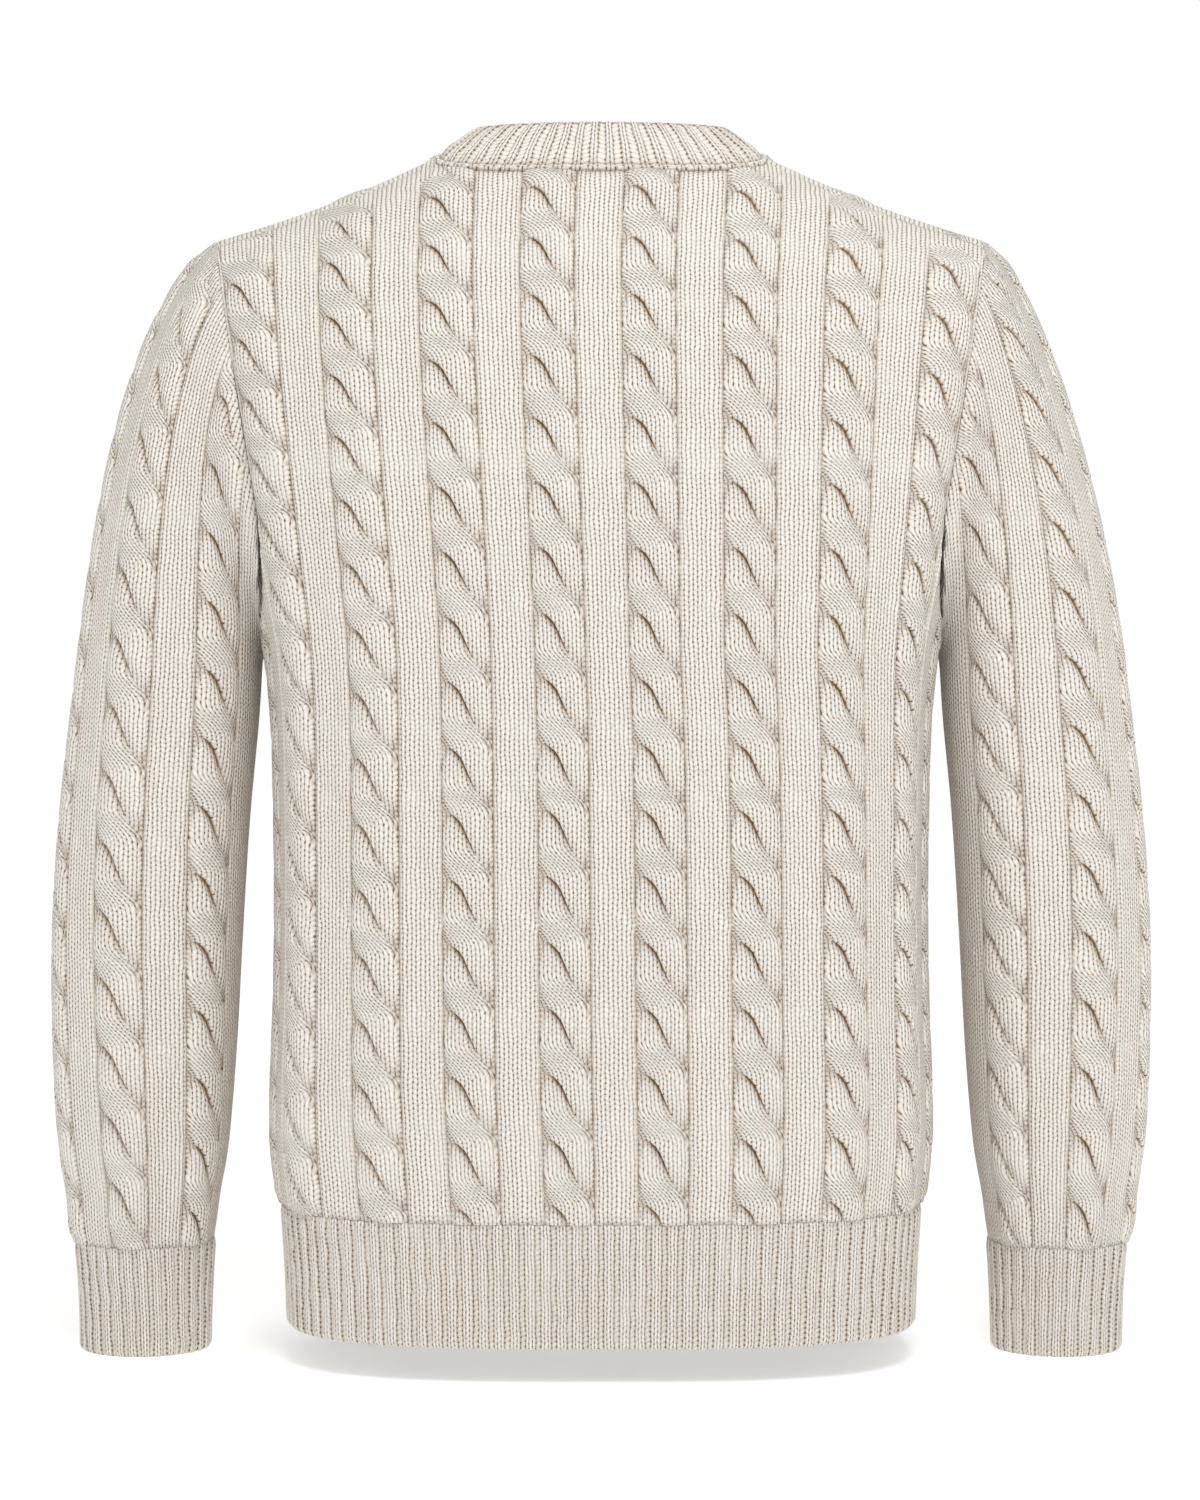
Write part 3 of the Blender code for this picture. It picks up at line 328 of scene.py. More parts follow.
def cable_lift(across, phi, q):
    """Heights of a cable, in cable heights, and the shade painted in its tucks and gutters.

    phi counts crossings up the cable, and q is the share of the strand from the tuck below
    to the one above.
    """
    left = NOTCH * inset(phi, 0.0)
    right = 1 - NOTCH * inset(phi, RIGHT_NOTCH)
    part = np.clip((across - left) / (right - left), 0, 1)
    round_over = (1 - np.abs(2 * part - 1) ** SECTION_POWERS[0]) ** SECTION_POWERS[1]
    under = ease(*UPPER_EDGE, across)
    # The strand on top: its lip over the tuck below, and how it sinks into the tuck above
    lip = 0.55 + 0.45 * (1 - (1 - np.clip(q / LIP_REACH, 0, 1)) ** 2)
    sink = 1 - SINK * ease(0.90 - 0.20 * ease(0.15, 0.45, across), 1.0, q)
    crossed = np.where(q == 0, TUCK_HEIGHTS[0], np.minimum(lip, sink))
    # The strand that comes out from under it
    slide = 1 - SLIDE[0] * (1 - ease(0.0, SLIDE[1], q))
    edge = 1 - 0.30 * ease(0.90, 1.0, q)
    tucked = np.where(q == 0, TUCK_HEIGHTS[1], np.minimum(slide, edge))
    lift = round_over * (crossed * (1 - under) + tucked * under)
    # Painted shade: the dark line in a tuck, the softer hollow before it and the lower strand
    # below it
    before, after = LINE_FADES
    line = np.where(q == 0, 1.0, np.exp(-(1 - q) / before) + 0.4 * np.exp(-q / after))
    line *= 0.03 + 0.97 * ease(*LINE_SPAN[0], across) * (1 - ease(*LINE_SPAN[1], across))
    hollow = np.where(q == 0, 1.0, np.exp(-(1 - q) / HOLLOW_FADE))
    hollow *= ease(*HOLLOW_SPAN[0], across) * (1 - ease(*HOLLOW_SPAN[1], across))
    below = ease(0.46, 0.62, across) * (1 - ease(0.0, 0.32, q))
    shade = np.clip(line + HOLLOW_DARKNESS * hollow + BELOW_DARKNESS * below, 0, 1)
    # The gutter at each side of the cable, where shade is painted
    ladder = 1 - ease(0.0, LADDER_WIDTH, np.minimum(part, 1 - part))
    return lift, shade, ladder


STRAND_WIDTH = 0.5  # of the cable's
STRAND_TILT = 0.55  # of the stitches' courses where a strand crosses
CABLE_WIDTH = 0.028


def strand_place(across, phi, strand, v):
    """Legs of stitches across a strand and courses up it, which follow it as it crosses."""
    psi = strand - phi
    middle = 0.25 + 0.5 * ease(-0.50, 0.02, psi)
    legs = LEGS_A_STRAND * ((across - middle) / STRAND_WIDTH + 0.5)
    tilt = STRAND_TILT * ease(0, 1, 1 - np.abs(psi + 0.22) / 0.42)
    courses = (v - tilt * (across - 0.5) * CABLE_WIDTH) / COURSE
    return np.stack([legs, courses], axis=-1)


def climbing(left, right):
    """Triangles between two rising lists of keys, as places in one list after the other."""
    side = np.repeat([0, 1], [len(left) - 1, len(right) - 1])
    side = side[np.argsort(np.concatenate([left[1:], right[1:]]), kind="stable")]
    i = np.cumsum(side == 0) - (side == 0)
    j = np.cumsum(side == 1) - (side == 1) + len(left)
    return np.stack([i, j, np.where(side == 0, i + 1, j + 1)], axis=1)


class Skin(namedtuple("Skin", "index v phi legs shade flat")):
    """The points of one column on one skin of the cloth, from its foot to its top.

    v is their length up it, phi counts crossings or whatever else its neighbour is sewn to it
    by, legs counts legs of stitches across, shade is the shade painted in tucks and in gutters,
    and flat their place on the unrolled piece.
    """

    def upto(self, v, beyond=False):
        keep = self.v >= v - SAME_ROW if beyond else self.v <= v + SAME_ROW
        return Skin(*(field[keep] for field in self))


OUTER_SHARE = 0.70  # of the unrolled piece's width, which its outside takes
INNER_START = 0.74
INNER_SHARE = 0.25
UNROLLED_ROOM = 0.01  # left free below and above both


def unrolled(part, climb, inside=False):
    """Where points lie on the unrolled piece, by their shares of its width and length."""
    across = INNER_START + INNER_SHARE * part if inside else UNROLLED_ROOM + OUTER_SHARE * part
    return np.stack([climb * 0 + across, UNROLLED_ROOM + (1 - 2 * UNROLLED_ROOM) * climb], -1)


def placed(name, data, place=(0, 0, 0)):
    """A new object at a place in the scene."""
    thing = bpy.data.objects.new(name, data)
    thing.location = place
    bpy.context.collection.objects.link(thing)
    return thing


class Cloth:
    """A knitted piece with both its skins and its edges, put together column by column."""

    EDGE = 0.006  # of the unrolled piece, which the edges take

    def __init__(self, name):
        self.name = name
        self.points = []
        self.count = 0
        self.faces = []
        self.corners = {"Stitches": [], "Shade": [], "OFBake": []}

    def skin(self, points, v, phi, legs, part, climb, shade=None):
        """A column of new points at a part of the width, on the inside if it has no shade."""
        index = np.arange(self.count, self.count + len(points))
        self.points.append(points)
        self.count += len(points)
        flat = unrolled(part, climb, inside=shade is None)
        shade = np.zeros((len(v), 2)) if shade is None else shade
        return Skin(index, v, phi, v * 0 + legs, shade, flat)

    def sew(self, left, right, keys=None, cable=None, inner=False, shift=(0, 0)):
        """Triangles between two skins' columns. shift moves the second on the flat piece."""
        keys = keys or (left.phi, right.phi)
        found = climbing(*keys)
        right = right._replace(flat=right.flat + shift)
        both = Skin(*(np.concatenate(fields)[found] for fields in zip(left, right)))
        if cable is not None:
            strand = np.floor(np.concatenate(keys)[found].mean(axis=1) + SAME_ROW)[:, None]
            across = np.repeat([tuck.across for tuck in cable], [len(left.v), len(right.v)])
            stitches = strand_place(across[found], both.phi, strand, both.v)
        else:
            stitches = np.stack([both.legs, both.v / COURSE], axis=-1)
        turn = slice(None, None, -1) if inner else slice(None)
        self.faces.append(both.index[:, turn])
        for name, corners in zip(self.corners, (stitches, both.shade, both.flat)):
            self.corners[name].append(corners[:, turn])

    def edges(self, columns):
        """The rims along the feet and the tops of neighbouring columns of both skins."""
        for end, shift in ((0, -self.EDGE), (-1, self.EDGE)):
            outer, inner = (row_of(columns, which, end) for which in (0, 1))
            self.sew(outer, inner, inner=end == -1, shift=(0, shift))

    def close(self, columns):
        """The long edges up the first and the last column."""
        for number, shift in ((0, -self.EDGE), (-1, self.EDGE)):
            outer, inner = columns[number]
            self.sew(outer, inner, (outer.v, inner.v), inner=number == 0, shift=(shift, 0))

    def build(self, material):
        mesh = bpy.data.meshes.new(self.name)
        lowered = np.concatenate(self.points) - (0, 0, NECK_POINT_HEIGHT)
        faces = np.concatenate(self.faces)
        mesh.from_pydata(lowered.tolist(), [], faces.tolist())
        for name, corners in self.corners.items():
            layer = mesh.uv_layers.new(name=name)
            layer.data.foreach_set("uv", np.concatenate(corners).astype(np.float32).ravel())
        mesh.materials.append(material)
        mesh.shade_smooth()
        return placed(self.name, mesh)


ROLL_REACH = 0.0035
SEAM_DIP = 0.0010  # how deep the edges beside a long seam are drawn in


def plain_stitches(track, wale, fade):
    """Lengths up a plain wale, and there its lift, its painted shades and its legs across."""
    v = np.linspace(0, wale.length, max(2, round(wale.length / PLAIN_ROW)) + 1)
    kept = fade(v, wale.length)
    shade = np.stack([v * 0, track.gutter * kept], axis=-1)
    legs = (track.w - track.middle) * LEGS_A_STRIP / (1 - CABLE_SHARE)
    return v, track.lift * kept, shade, legs


def cable_stitches(track, wale, crossing, first, fade):
    """The same up a wale of a cable, with its rows close together beside each tuck."""
    drop = track.tuck.drop
    ends = (np.array([0, wale.length]) - first) / crossing + drop
    whole = np.arange(math.floor(ends[0]) - 1, math.ceil(ends[1]) + 1)
    q = np.tile(TUCK_ROWS, len(whole))
    v = first + crossing * ((whole[:, None] + np.array(TUCK_ROWS)).ravel() - drop)
    keep = (v > END_ROOM) & (v < wale.length - END_ROOM)
    v = np.concatenate([[0], v[keep], [wale.length]])
    q = np.concatenate([ends[:1] % 1, q[keep], ends[1:] % 1])
    kept = fade(v, wale.length)
    lift, *shades = cable_lift(track.tuck.across, (v - first) / crossing, q)
    lift = lift * CABLE_HEIGHT
    if track.tuck.across in (0.0, 1.0):
        lift = lift + GUTTER_LIFT
    legs = LEGS_A_STRIP / 2 * (1 if track.tuck.across < 0.5 else -1)
    return v, lift * kept, np.stack(shades, axis=-1) * kept[:, None], legs


# How a piece is cabled: the lengths from one crossing to the next and up to the first, how
# far some cables' crossings lie from there, and how deep its linked top turns in
Cabling = namedtuple("Cabling", "crossing first shifts roll")


def knit_column(cloth, track, wale, fade, cabling, seam, longest):
    """One column of both skins, in a piece whose long seams run at -seam and at seam."""
    first = cabling.first + cabling.shifts.get(track.cable, 0)
    part = (track.w + seam) / (2 * seam)
    if track.cable is None:
        v, lift, shade, legs = plain_stitches(track, wale, fade)
    else:
        v, lift, shade, legs = cable_stitches(track, wale, cabling.crossing, first, fade)
    lift = lift - cabling.roll * np.clip(1 - (wale.length - v) / ROLL_REACH, 0, 1) ** 2
    sewn = 0.0 if abs(track.w) == seam else wale.joined
    if sewn is not None:
        lift = lift - SEAM_DIP * (v >= sewn - SAME_ROW)
    points, normals = wale.at(v)
    points = points + normals * lift[:, None]
    phi = (v - first) / cabling.crossing
    outer = cloth.skin(points, v, phi, legs, part, v / longest, shade)
    v = np.linspace(0, wale.length, max(2, round(wale.length / INNER_ROW)) + 1)
    if wale.joined is not None:
        v = np.sort(np.append(v, wale.joined))
    points, normals = wale.at(v)
    legs = track.w * (LEGS_A_STRIP / (1 - CABLE_SHARE))
    return outer, cloth.skin(points - normals * WALL, v, v, legs, part, v / longest)


def row_of(columns, which, end):
    """The foot or the top row of a skin, as a column of its own that runs across."""
    skins = [column[which] for column in columns]
    row = Skin(*(np.array([each[end] for each in field]) for field in zip(*skins)))
    return row._replace(phi=np.arange(len(skins)))


def sew_up(cloth, tracks, wales, columns):
    """All of a cabled piece's columns into its skins and edges."""
    for number in range(len(tracks) - 1):
        pair = tracks[number : number + 2]
        sides = columns[number : number + 2]
        for one, other in ((0, 1), (1, 0)):
            # The cloth outside an armhole ends at its foot, and the straight wale is hemmed
            joined = wales[number + one].joined
            if joined is not None and abs(pair[other].w) > abs(pair[one].w):
                rest = [skin.upto(joined, beyond=True) for skin in sides[one]]
                sides[one] = [skin.upto(joined) for skin in sides[one]]
                keys = [skin.v for skin in rest]
                cloth.sew(*rest, keys, shift=(Cloth.EDGE, 0), inner=one == 1)
        (left, left_in), (right, right_in) = sides
        if pair[0].cable is not None and pair[0].cable == pair[1].cable:
            keys = tuple(s.phi + t.tuck.drop for s, t in zip((left, right), pair))
            cloth.sew(left, right, keys, cable=(pair[0].tuck, pair[1].tuck))
        else:
            cloth.sew(left, right)
        cloth.sew(left_in, right_in, inner=True)
        cloth.edges(sides)
    cloth.close(columns)


def knit(name, tracks, wales, fades, cabling, seam):
    """A cabled piece from its wales, each with its own fade."""
    cloth = Cloth(name)
    longest = max(wale.length for wale in wales)
    columns = [
        knit_column(cloth, track, wale, fade, cabling, seam, longest)
        for track, wale, fade in zip(tracks, wales, fades)
    ]
    sew_up(cloth, tracks, wales, columns)
    return cloth


Fade = namedtuple("Fade", "kept start reach")  # how a cable flattens towards a joint
FOOT_FADE = Fade(0.55, 0.0, 0.008)
NECK_FADE = Fade(0.60, 0.0, 0.006)
SHOULDER_FADE = Fade(0.0, 0.016, 0.040)
ARMHOLE_FADE = Fade(0.45, 0.0, 0.010)


def fading(foot, top):
    """The share of its height that a cable keeps, by its length and the distance to its end."""

    def fade(v, end):
        near_top = top.kept + (1 - top.kept) * ease(top.start, top.reach, end - v)
        return near_top * (foot.kept + (1 - foot.kept) * ease(foot.start, foot.reach, v))

    return fade


def panel_fade(w):
    if abs(w) > ARMHOLE:
        return fading(FOOT_FADE, ARMHOLE_FADE)
    share = float(ease(NECK_REPEATS - 0.35, NECK_REPEATS + 0.15, abs(w)))
    mixed = (a + (b - a) * share for a, b in zip(NECK_FADE, SHOULDER_FADE))
    return fading(FOOT_FADE, Fade(*mixed))


NECK_DEPTHS = (0.0, 0.13, 0.26, 0.39, 0.52, 0.65, 0.77, 0.87)  # of wales that end at the neck
# Wales at and beside the straight part of the armhole and at the side seam
SEAM_WALES = (ARMHOLE, ARMHOLE + 0.006, ARMHOLE + 0.025, ARMHOLE + 0.09, 4.92, SIDE_SEAM)
PANEL_CABLING = Cabling(BODY_CROSSING, FIRST_CROSSING, PANEL_SHIFTS, roll=0.0012)


def joined_at(wale):
    """The row of the armhole's straight wale where the cloth towards the side seam ends."""
    rows = round(wale.length / PLAIN_ROW)
    straight = turn_at_height(ARMHOLE, UNDERARM_HEIGHT + ARMHOLE_RISE)
    at = float(np.interp(straight, wale.t, wale.lengths))
    return round(at / wale.length * rows) * wale.length / rows


def panel_cloth(panel, name):
    extra = [panel.neck_width(depth) for depth in NECK_DEPTHS] + list(SEAM_WALES)
    tracks = pattern_tracks(np.arange(-4.5, 5).tolist(), range(-5, 6))
    tracks = [track for track in tracks if abs(track.w) < SIDE_SEAM]
    tracks += [one_more_track(side * w) for w in extra for side in (-1, 1)]
    tracks = sorted(tracks, key=lambda track: track.w)
    wales = [panel.wale(track.w) for track in tracks]
    for wale in wales:
        if abs(wale.w) == ARMHOLE:
            wale.joined = joined_at(wale)
    fades = [panel_fade(track.w) for track in tracks]
    return knit(name, tracks, wales, fades, PANEL_CABLING, SIDE_SEAM)


def one_more_track(w):
    """One more wale, which takes its place in the cable or plain strip that it falls in."""
    cable = math.floor(w) + 0.5
    across = (w - cable) / CABLE_SHARE + 0.5
    if not 0 < across < 1:
        return Track(w, round(w), EXTRA_LIFT)
    tuck = Tuck(across, float(np.interp(across, *zip(*TUCK))))
    return Track(w, cable, cable=cable, tuck=tuck)


class Shade:
    """An output of a material's nodes, which joins in sums. node() adds any other node."""

    def __init__(self, tree, socket=None):
        self.tree = tree
        self.socket = socket

    def node(self, kind, settings, inputs, output=0):
        made = self.tree.nodes.new(kind)
        for name, value in settings.items():
            setattr(made, name, value)
        for name, value in inputs.items():
            if isinstance(value, Shade):
                self.tree.links.new(value.socket, made.inputs[name])
            else:
                made.inputs[name].default_value = value
        return Shade(self.tree, made.outputs[output])

    def other(self, output):
        return Shade(self.tree, self.socket.node.outputs[output])

    def math(self, operation, *values, clamp=False):
        settings = {"operation": operation, "use_clamp": clamp}
        return self.node("ShaderNodeMath", settings, dict(enumerate(values)))

    def __add__(self, other):
        return self.math("ADD", self, other)

    __radd__ = __add__

    def __sub__(self, other):
        return self.math("SUBTRACT", self, other)

    def __rsub__(self, other):
        return self.math("SUBTRACT", other, self)

    def __mul__(self, other):
        return self.math("MULTIPLY", self, other)

    __rmul__ = __mul__

    def __pow__(self, power):
        return self.math("POWER", self, power)

    def clamped(self):
        return self.math("ADD", self, 0.0, clamp=True)

    def mixed(self, light, dark):
        """From light to dark as this goes from 0 to 1."""
        settings = {"data_type": "RGBA"}
        return self.node("ShaderNodeMix", settings, {0: self, 6: light, 7: dark}, 2)


LIGHT_WOOL = (0.935, 0.902, 0.845, 1)
WARM_WOOL = (0.80, 0.735, 0.645, 1)
# The colour that the painted shade in holes, gaps, tucks and gutters goes towards
PAINTED_SHADE_WOOL = (0.28, 0.180, 0.090, 1)
STITCH_DEPTH = 0.0011
STITCH_SWAY = 0.7  # legs and rows by which the stitches wander
SWAY_SCALE = 0.21  # bends to a row
ROW_SLANT = 0.5  # rows by which a leg climbs to its stitch's middle
FLECK_SCALE = (2.4, 0.9)  # flecks to a leg and to a row
PATCH_SCALE = 0.09  # patches to a row
# How dark the shade painted in the tucks is
TUCK_DARKNESS = 1.1
LADDER_DARKNESS = 0.50  # of the shade painted in the gutters beside a cable, between their purl threads


def shaded(name, values):
    """A new material with these values in its shader's sockets, and that shader."""
    material = bpy.data.materials.new(name)
    material.use_nodes = True
    shader = material.node_tree.nodes["Principled BSDF"]
    for socket, value in values.items():
        shader.inputs[socket].default_value = value
    return material, shader


def knitted_wool(name):
    """Matte undyed wool in rows of stitches, with shade painted between them and in the tucks."""
    material, shader = shaded(name, {"Roughness": 0.95, "Specular IOR Level": 0.15})
    tree = material.node_tree
    start = Shade(tree)

    def noise(place, scale, **fineness):
        inputs = {"Vector": place, "Scale": scale, **fineness}
        return start.node("ShaderNodeTexNoise", {"noise_dimensions": "2D"}, inputs)

    def ridges(value):
        return start.math("ABSOLUTE", start.math("SINE", value * math.pi))

    place = start.node("ShaderNodeUVMap", {"uv_map": "Stitches"}, {})
    sway = noise(place, SWAY_SCALE)
    leg = start.node("ShaderNodeSeparateXYZ", {}, {"Vector": place})
    row = leg.other(1) + sway * STITCH_SWAY
    leg = leg + sway * STITCH_SWAY - STITCH_SWAY / 2
    # The shade painted in the tucks, and that painted in the gutters
    painted_shade_map = start.node("ShaderNodeUVMap", {"uv_map": "Shade"}, {})
    tuck = start.node("ShaderNodeSeparateXYZ", {}, {"Vector": painted_shade_map})
    gutter = tuck.other(1)

    # Two rounded legs to a stitch, which slant to its middle and meet the row above there
    ridge = ridges(leg)
    slant = start.math("PINGPONG", leg, 1.0)
    course = start.math("FRACT", row + slant * ROW_SLANT)
    joint = start.math("ABSOLUTE", course * 2.0 - 1.0)
    gap = 1.0 - ridge
    full = ridge**0.6 * (1.0 - 0.45 * joint**4.0)
    # The purl threads that cross the gutters beside the cables, with shade painted between them
    ladder = gutter * (1.0 - 0.75 * ridges(row) ** 1.5)

    # Flecks along the yarn and broader patches of a warmer tone
    flecks = {"X": leg * FLECK_SCALE[0], "Y": row * FLECK_SCALE[1]}
    fibres = start.node("ShaderNodeCombineXYZ", {}, flecks)
    marl = noise(fibres, 1.0, Detail=3.0, Roughness=0.65)
    patches = noise(place, PATCH_SCALE, Detail=3.0, Roughness=0.75)
    tone = (marl * 1.6 + patches * 0.5 - 0.75).clamped()
    wool = tone.mixed(LIGHT_WOOL, WARM_WOOL)
    # Painted shade in stitches that stand open here and there, where legs part at a joint
    open_stitch = ((gap + joint * 1.1 + marl * 0.4 - 1.52) * 2.6).clamped()
    painted_hole_shade = open_stitch * (patches * 3.0 - 0.55).clamped()
    # All the painted shade together: in open stitches, between the legs, in the tucks and in the
    # gutters
    dark = (painted_hole_shade + gap**2.0 * 0.08 + tuck * TUCK_DARKNESS + ladder * LADDER_DARKNESS).clamped()
    tree.links.new(dark.mixed(wool, PAINTED_SHADE_WOOL).socket, shader.inputs["Base Color"])
    height = full + marl * 0.25 - ladder * 0.5
    bump = start.node("ShaderNodeBump", {}, {"Height": height, "Distance": STITCH_DEPTH})
    tree.links.new(bump.socket, shader.inputs["Normal"])
    return material


def dress(piece, node):
    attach(piece, "root")
    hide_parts(node)


wool = knitted_wool("knitted wool")
back = panel_cloth(BACK, "cabled_back").build(wool)
dress(back, "back_panel")

# The front: the same panel with a lower neck, linked to the back over the shoulders and
# sewn to it down the sides.

FRONT = Panel(
    "front_panel", face=1, lean_scale=0.0, seam_turn=102.0, neck_turn=40.0, neck_power=2.6
)
front = panel_cloth(FRONT, "cabled_front").build(wool)
dress(front, "front_panel")

# The sleeves: tubes of the same wool with five cables round them and plain wales over the
# underarm seam, knitted from the cuff up and over a cap that is set into the armhole.

SleeveLevel = namedtuple("SleeveLevel", "height centre half_width half_depth")
SLEEVE_LEVELS = [SleeveLevel(*row) for row in (
    (-0.0204, 0.2741, 0.0376, 0.0395),
    (0.0100, 0.2741, 0.0384, 0.0405),
    (0.0445, 0.2744, 0.0409, 0.0441),
    (0.0590, 0.2744, 0.0429, 0.0470),
    (0.0735, 0.2738, 0.0443, 0.0490),
    (0.0915, 0.2736, 0.0475, 0.0525),
    (0.1280, 0.2733, 0.0511, 0.0570),
    (0.1640, 0.2726, 0.0530, 0.0595),
    (0.2180, 0.2714, 0.0546, 0.0615),
    (0.3080, 0.2658, 0.0547, 0.0630),
    (0.3630, 0.2602, 0.0541, 0.0640),
    (0.3900, 0.2578, 0.0533, 0.0645),
)]
CUFF_EDGE = SLEEVE_LEVELS[0].height
CUFF_TOP = SLEEVE_LEVELS[2].height
SLEEVE_TUBE_TOP = SLEEVE_LEVELS[-1].height
# turn is where the middle cable faces, in degrees from -Y towards +X, and twist what comes to
# it down to the cuff. The cap leaves the armhole at fall degrees below level, and fullness is
# how far out it goes on so, as a share of its span.
Arm = namedtuple("Arm", "name side turn twist fall fullness")
ARMS = (Arm("left", -1, -81.0, 18.0, 42.0, 0.275), Arm("right", 1, 86.0, -12.0, 48.0, 0.21))
SLEEVE_CROSSING = 0.0402
FIRST_SLEEVE_CROSSING = 0.0240
SLEEVE_SHIFTS = {"left": {1: 0.017, 2: -0.002}, "right": {-2: 0.003, -1: 0.005}}
REPEAT_TURN = 60.0  # degrees round the sleeve
UNDERARM = 3.0  # repeats from the sleeve's middle cable to its seam
CAP_EASE = (0.25, 2.8)  # how the wales spread along the armhole: an even share, and a power
CAP_BEND = 1.2
CAP_REACH = 0.36  # of the cap's span, over which it goes on straight from the tube
STRAIGHT_SAMPLES = 161
FOOT_SAMPLES = 61


def armhole_track():
    """Points down half an armhole, on the back at +X, by their length from the tip."""
    straight_end = turn_at_height(ARMHOLE, UNDERARM_HEIGHT + ARMHOLE_RISE)
    places = [(ARMHOLE, t) for t in np.linspace(2, straight_end, STRAIGHT_SAMPLES)]
    for angle in np.linspace(0, math.pi / 2, FOOT_SAMPLES)[1:]:
        w = SIDE_SEAM - (SIDE_SEAM - ARMHOLE) * math.cos(angle)
        places.append((w, armhole_foot(w)))
    points = np.array([body_places(w, np.array([t]), 0)[0] for w, t in places])
    return lengths_along(points), points


ARMHOLE_LENGTHS, ARMHOLE_POINTS = armhole_track()


class Sleeve:
    """The smooth surface of a sleeve: t runs 0 to 1 up its tube and on to 2 at the armhole."""

    def __init__(self, arm):
        self.arm = arm

    def tube(self, w, height):
        twist = self.arm.twist * (1 - height / SLEEVE_TUBE_TOP)
        turn = np.radians(self.arm.turn + twist + w * REPEAT_TURN)
        centre = self.arm.side * smooth(SLEEVE_LEVELS, "centre", height)
        x = centre + smooth(SLEEVE_LEVELS, "half_width", height) * np.sin(turn)
        y = -smooth(SLEEVE_LEVELS, "half_depth", height) * np.cos(turn)
        return np.stack([x, y, height], axis=-1)

    def place(self, w, t):
        arm = self.arm
        bottom = CUFF_TOP + SEAM_GAP / 2
        tube = self.tube(w, bottom + (SLEEVE_TUBE_TOP - bottom) * np.minimum(t, 1))
        below, top = self.tube(w, np.array([SLEEVE_TUBE_TOP - 0.01, SLEEVE_TUBE_TOP]))
        share, power = CAP_EASE
        part = min(abs(w) / UNDERARM, 1)
        down = ARMHOLE_LENGTHS[-1] * (share * part + (1 - share) * part**power)
        seam = found_at(down, ARMHOLE_LENGTHS, ARMHOLE_POINTS)
        seam = seam * (arm.side, 1 if w * arm.side <= 0 else -1, 1)
        fall = math.radians(arm.fall + (90 - arm.fall) * (abs(w) / UNDERARM) ** CAP_BEND)
        span = np.linalg.norm(seam - top)
        leaving = np.array([arm.side * math.cos(fall), 0, -math.sin(fall)])
        low = top + unit(top - below) * CAP_REACH * span
        high = seam + leaving * arm.fullness * span
        s = np.clip(t - 1, 0, 1)[:, None]
        cap = top * (1 - s) ** 3 + low * 3 * s * (1 - s) ** 2
        cap += high * 3 * s**2 * (1 - s) + seam * s**3
        return np.where(s > 0, cap, tube)


UNDERARM_STRIP = 2.5  # the middle that the stitches of the underarm strip count from
UNDERARM_WALES = (2.283, 2.302, 2.35, 2.46, 2.58, 2.70, 2.82, 2.93, UNDERARM)
CAP_FADE = Fade(0.25, 0.002, 0.020)
SLEEVE_ROLL = 0.0013


def sleeve_cloth(arm):
    sleeve = Sleeve(arm)
    tracks = pattern_tracks((-2, -1, 0, 1, 2), (-1.5, -0.5, 0.5, 1.5))
    for w in UNDERARM_WALES:
        for side in (-1, 1):
            gutter = PLAINS[0].gutter if w == UNDERARM_WALES[0] else 0.0
            tracks.append(Track(side * w, side * UNDERARM_STRIP, EXTRA_LIFT, gutter))
    tracks = sorted(tracks, key=lambda track: track.w)
    wales = [
        Wale(sleeve.place, track.w, 2, -UNDERARM, UNDERARM, closed=True) for track in tracks
    ]
    cabling = Cabling(
        SLEEVE_CROSSING, FIRST_SLEEVE_CROSSING, SLEEVE_SHIFTS[arm.name], roll=SLEEVE_ROLL
    )
    fades = [fading(FOOT_FADE, CAP_FADE)] * len(tracks)
    return knit(f"{arm.name}_cabled_sleeve", tracks, wales, fades, cabling, UNDERARM)


for arm in ARMS:
    sleeve = sleeve_cloth(arm).build(wool)
    dress(sleeve, f"sleeve_{arm.name}")

# The hem: a ring of one-and-one rib in the same wool, knitted on below both panels. Each
# rib is one raised wale, and narrow purl grooves part them.

HEM_RIBS = 120
# shadow is how dark the shade painted in a rib's groove is
Rib = namedtuple("Rib", "shares lift edge flank legs shadow")
ONE_AND_ONE = Rib(
    shares=(0.0, 0.09, 0.16, 0.22, 0.30, 0.40, 0.50, 0.60, 0.70, 0.78, 0.84, 0.91),
    lift=0.0018,
    edge=0.17,  # half of the groove's share of the width
    flank=0.14,
    legs=3,
    shadow=0.12,
)
RAISED_WALE = Rib(
    shares=(0.0, 0.10, 0.20, 0.25, 0.30, 0.36, 0.43, 0.50, 0.57, 0.64, 0.70, 0.75, 0.80, 0.90),
    lift=0.0012,
    edge=0.25,
    flank=0.11,
    legs=2,
    shadow=0.06,
)


def rib_profile(rib, share):
    """The lift, the legs across and the shade painted in the groove and along its sides, at a
    share of one rib's width."""
    near = min(share, 1 - share)
    rounded = 0.80 + 0.20 * math.sin(math.pi * share)
    lift = rib.lift * float(ease(rib.edge - 0.05, rib.edge - 0.05 + rib.flank, near)) * rounded
    at = (-0.5, 0.0, rib.legs, rib.legs + 0.5)
    legs = float(np.interp(share, (0.0, rib.edge, 1 - rib.edge, 1.0), at))
    line = 0.5 * math.exp(-(((near - rib.edge) / 0.045) ** 2))
    groove = 1 - float(ease(rib.edge - 0.08, rib.edge + 0.02, near))
    return lift, legs, rib.shadow * max(groove, 2 * line), line


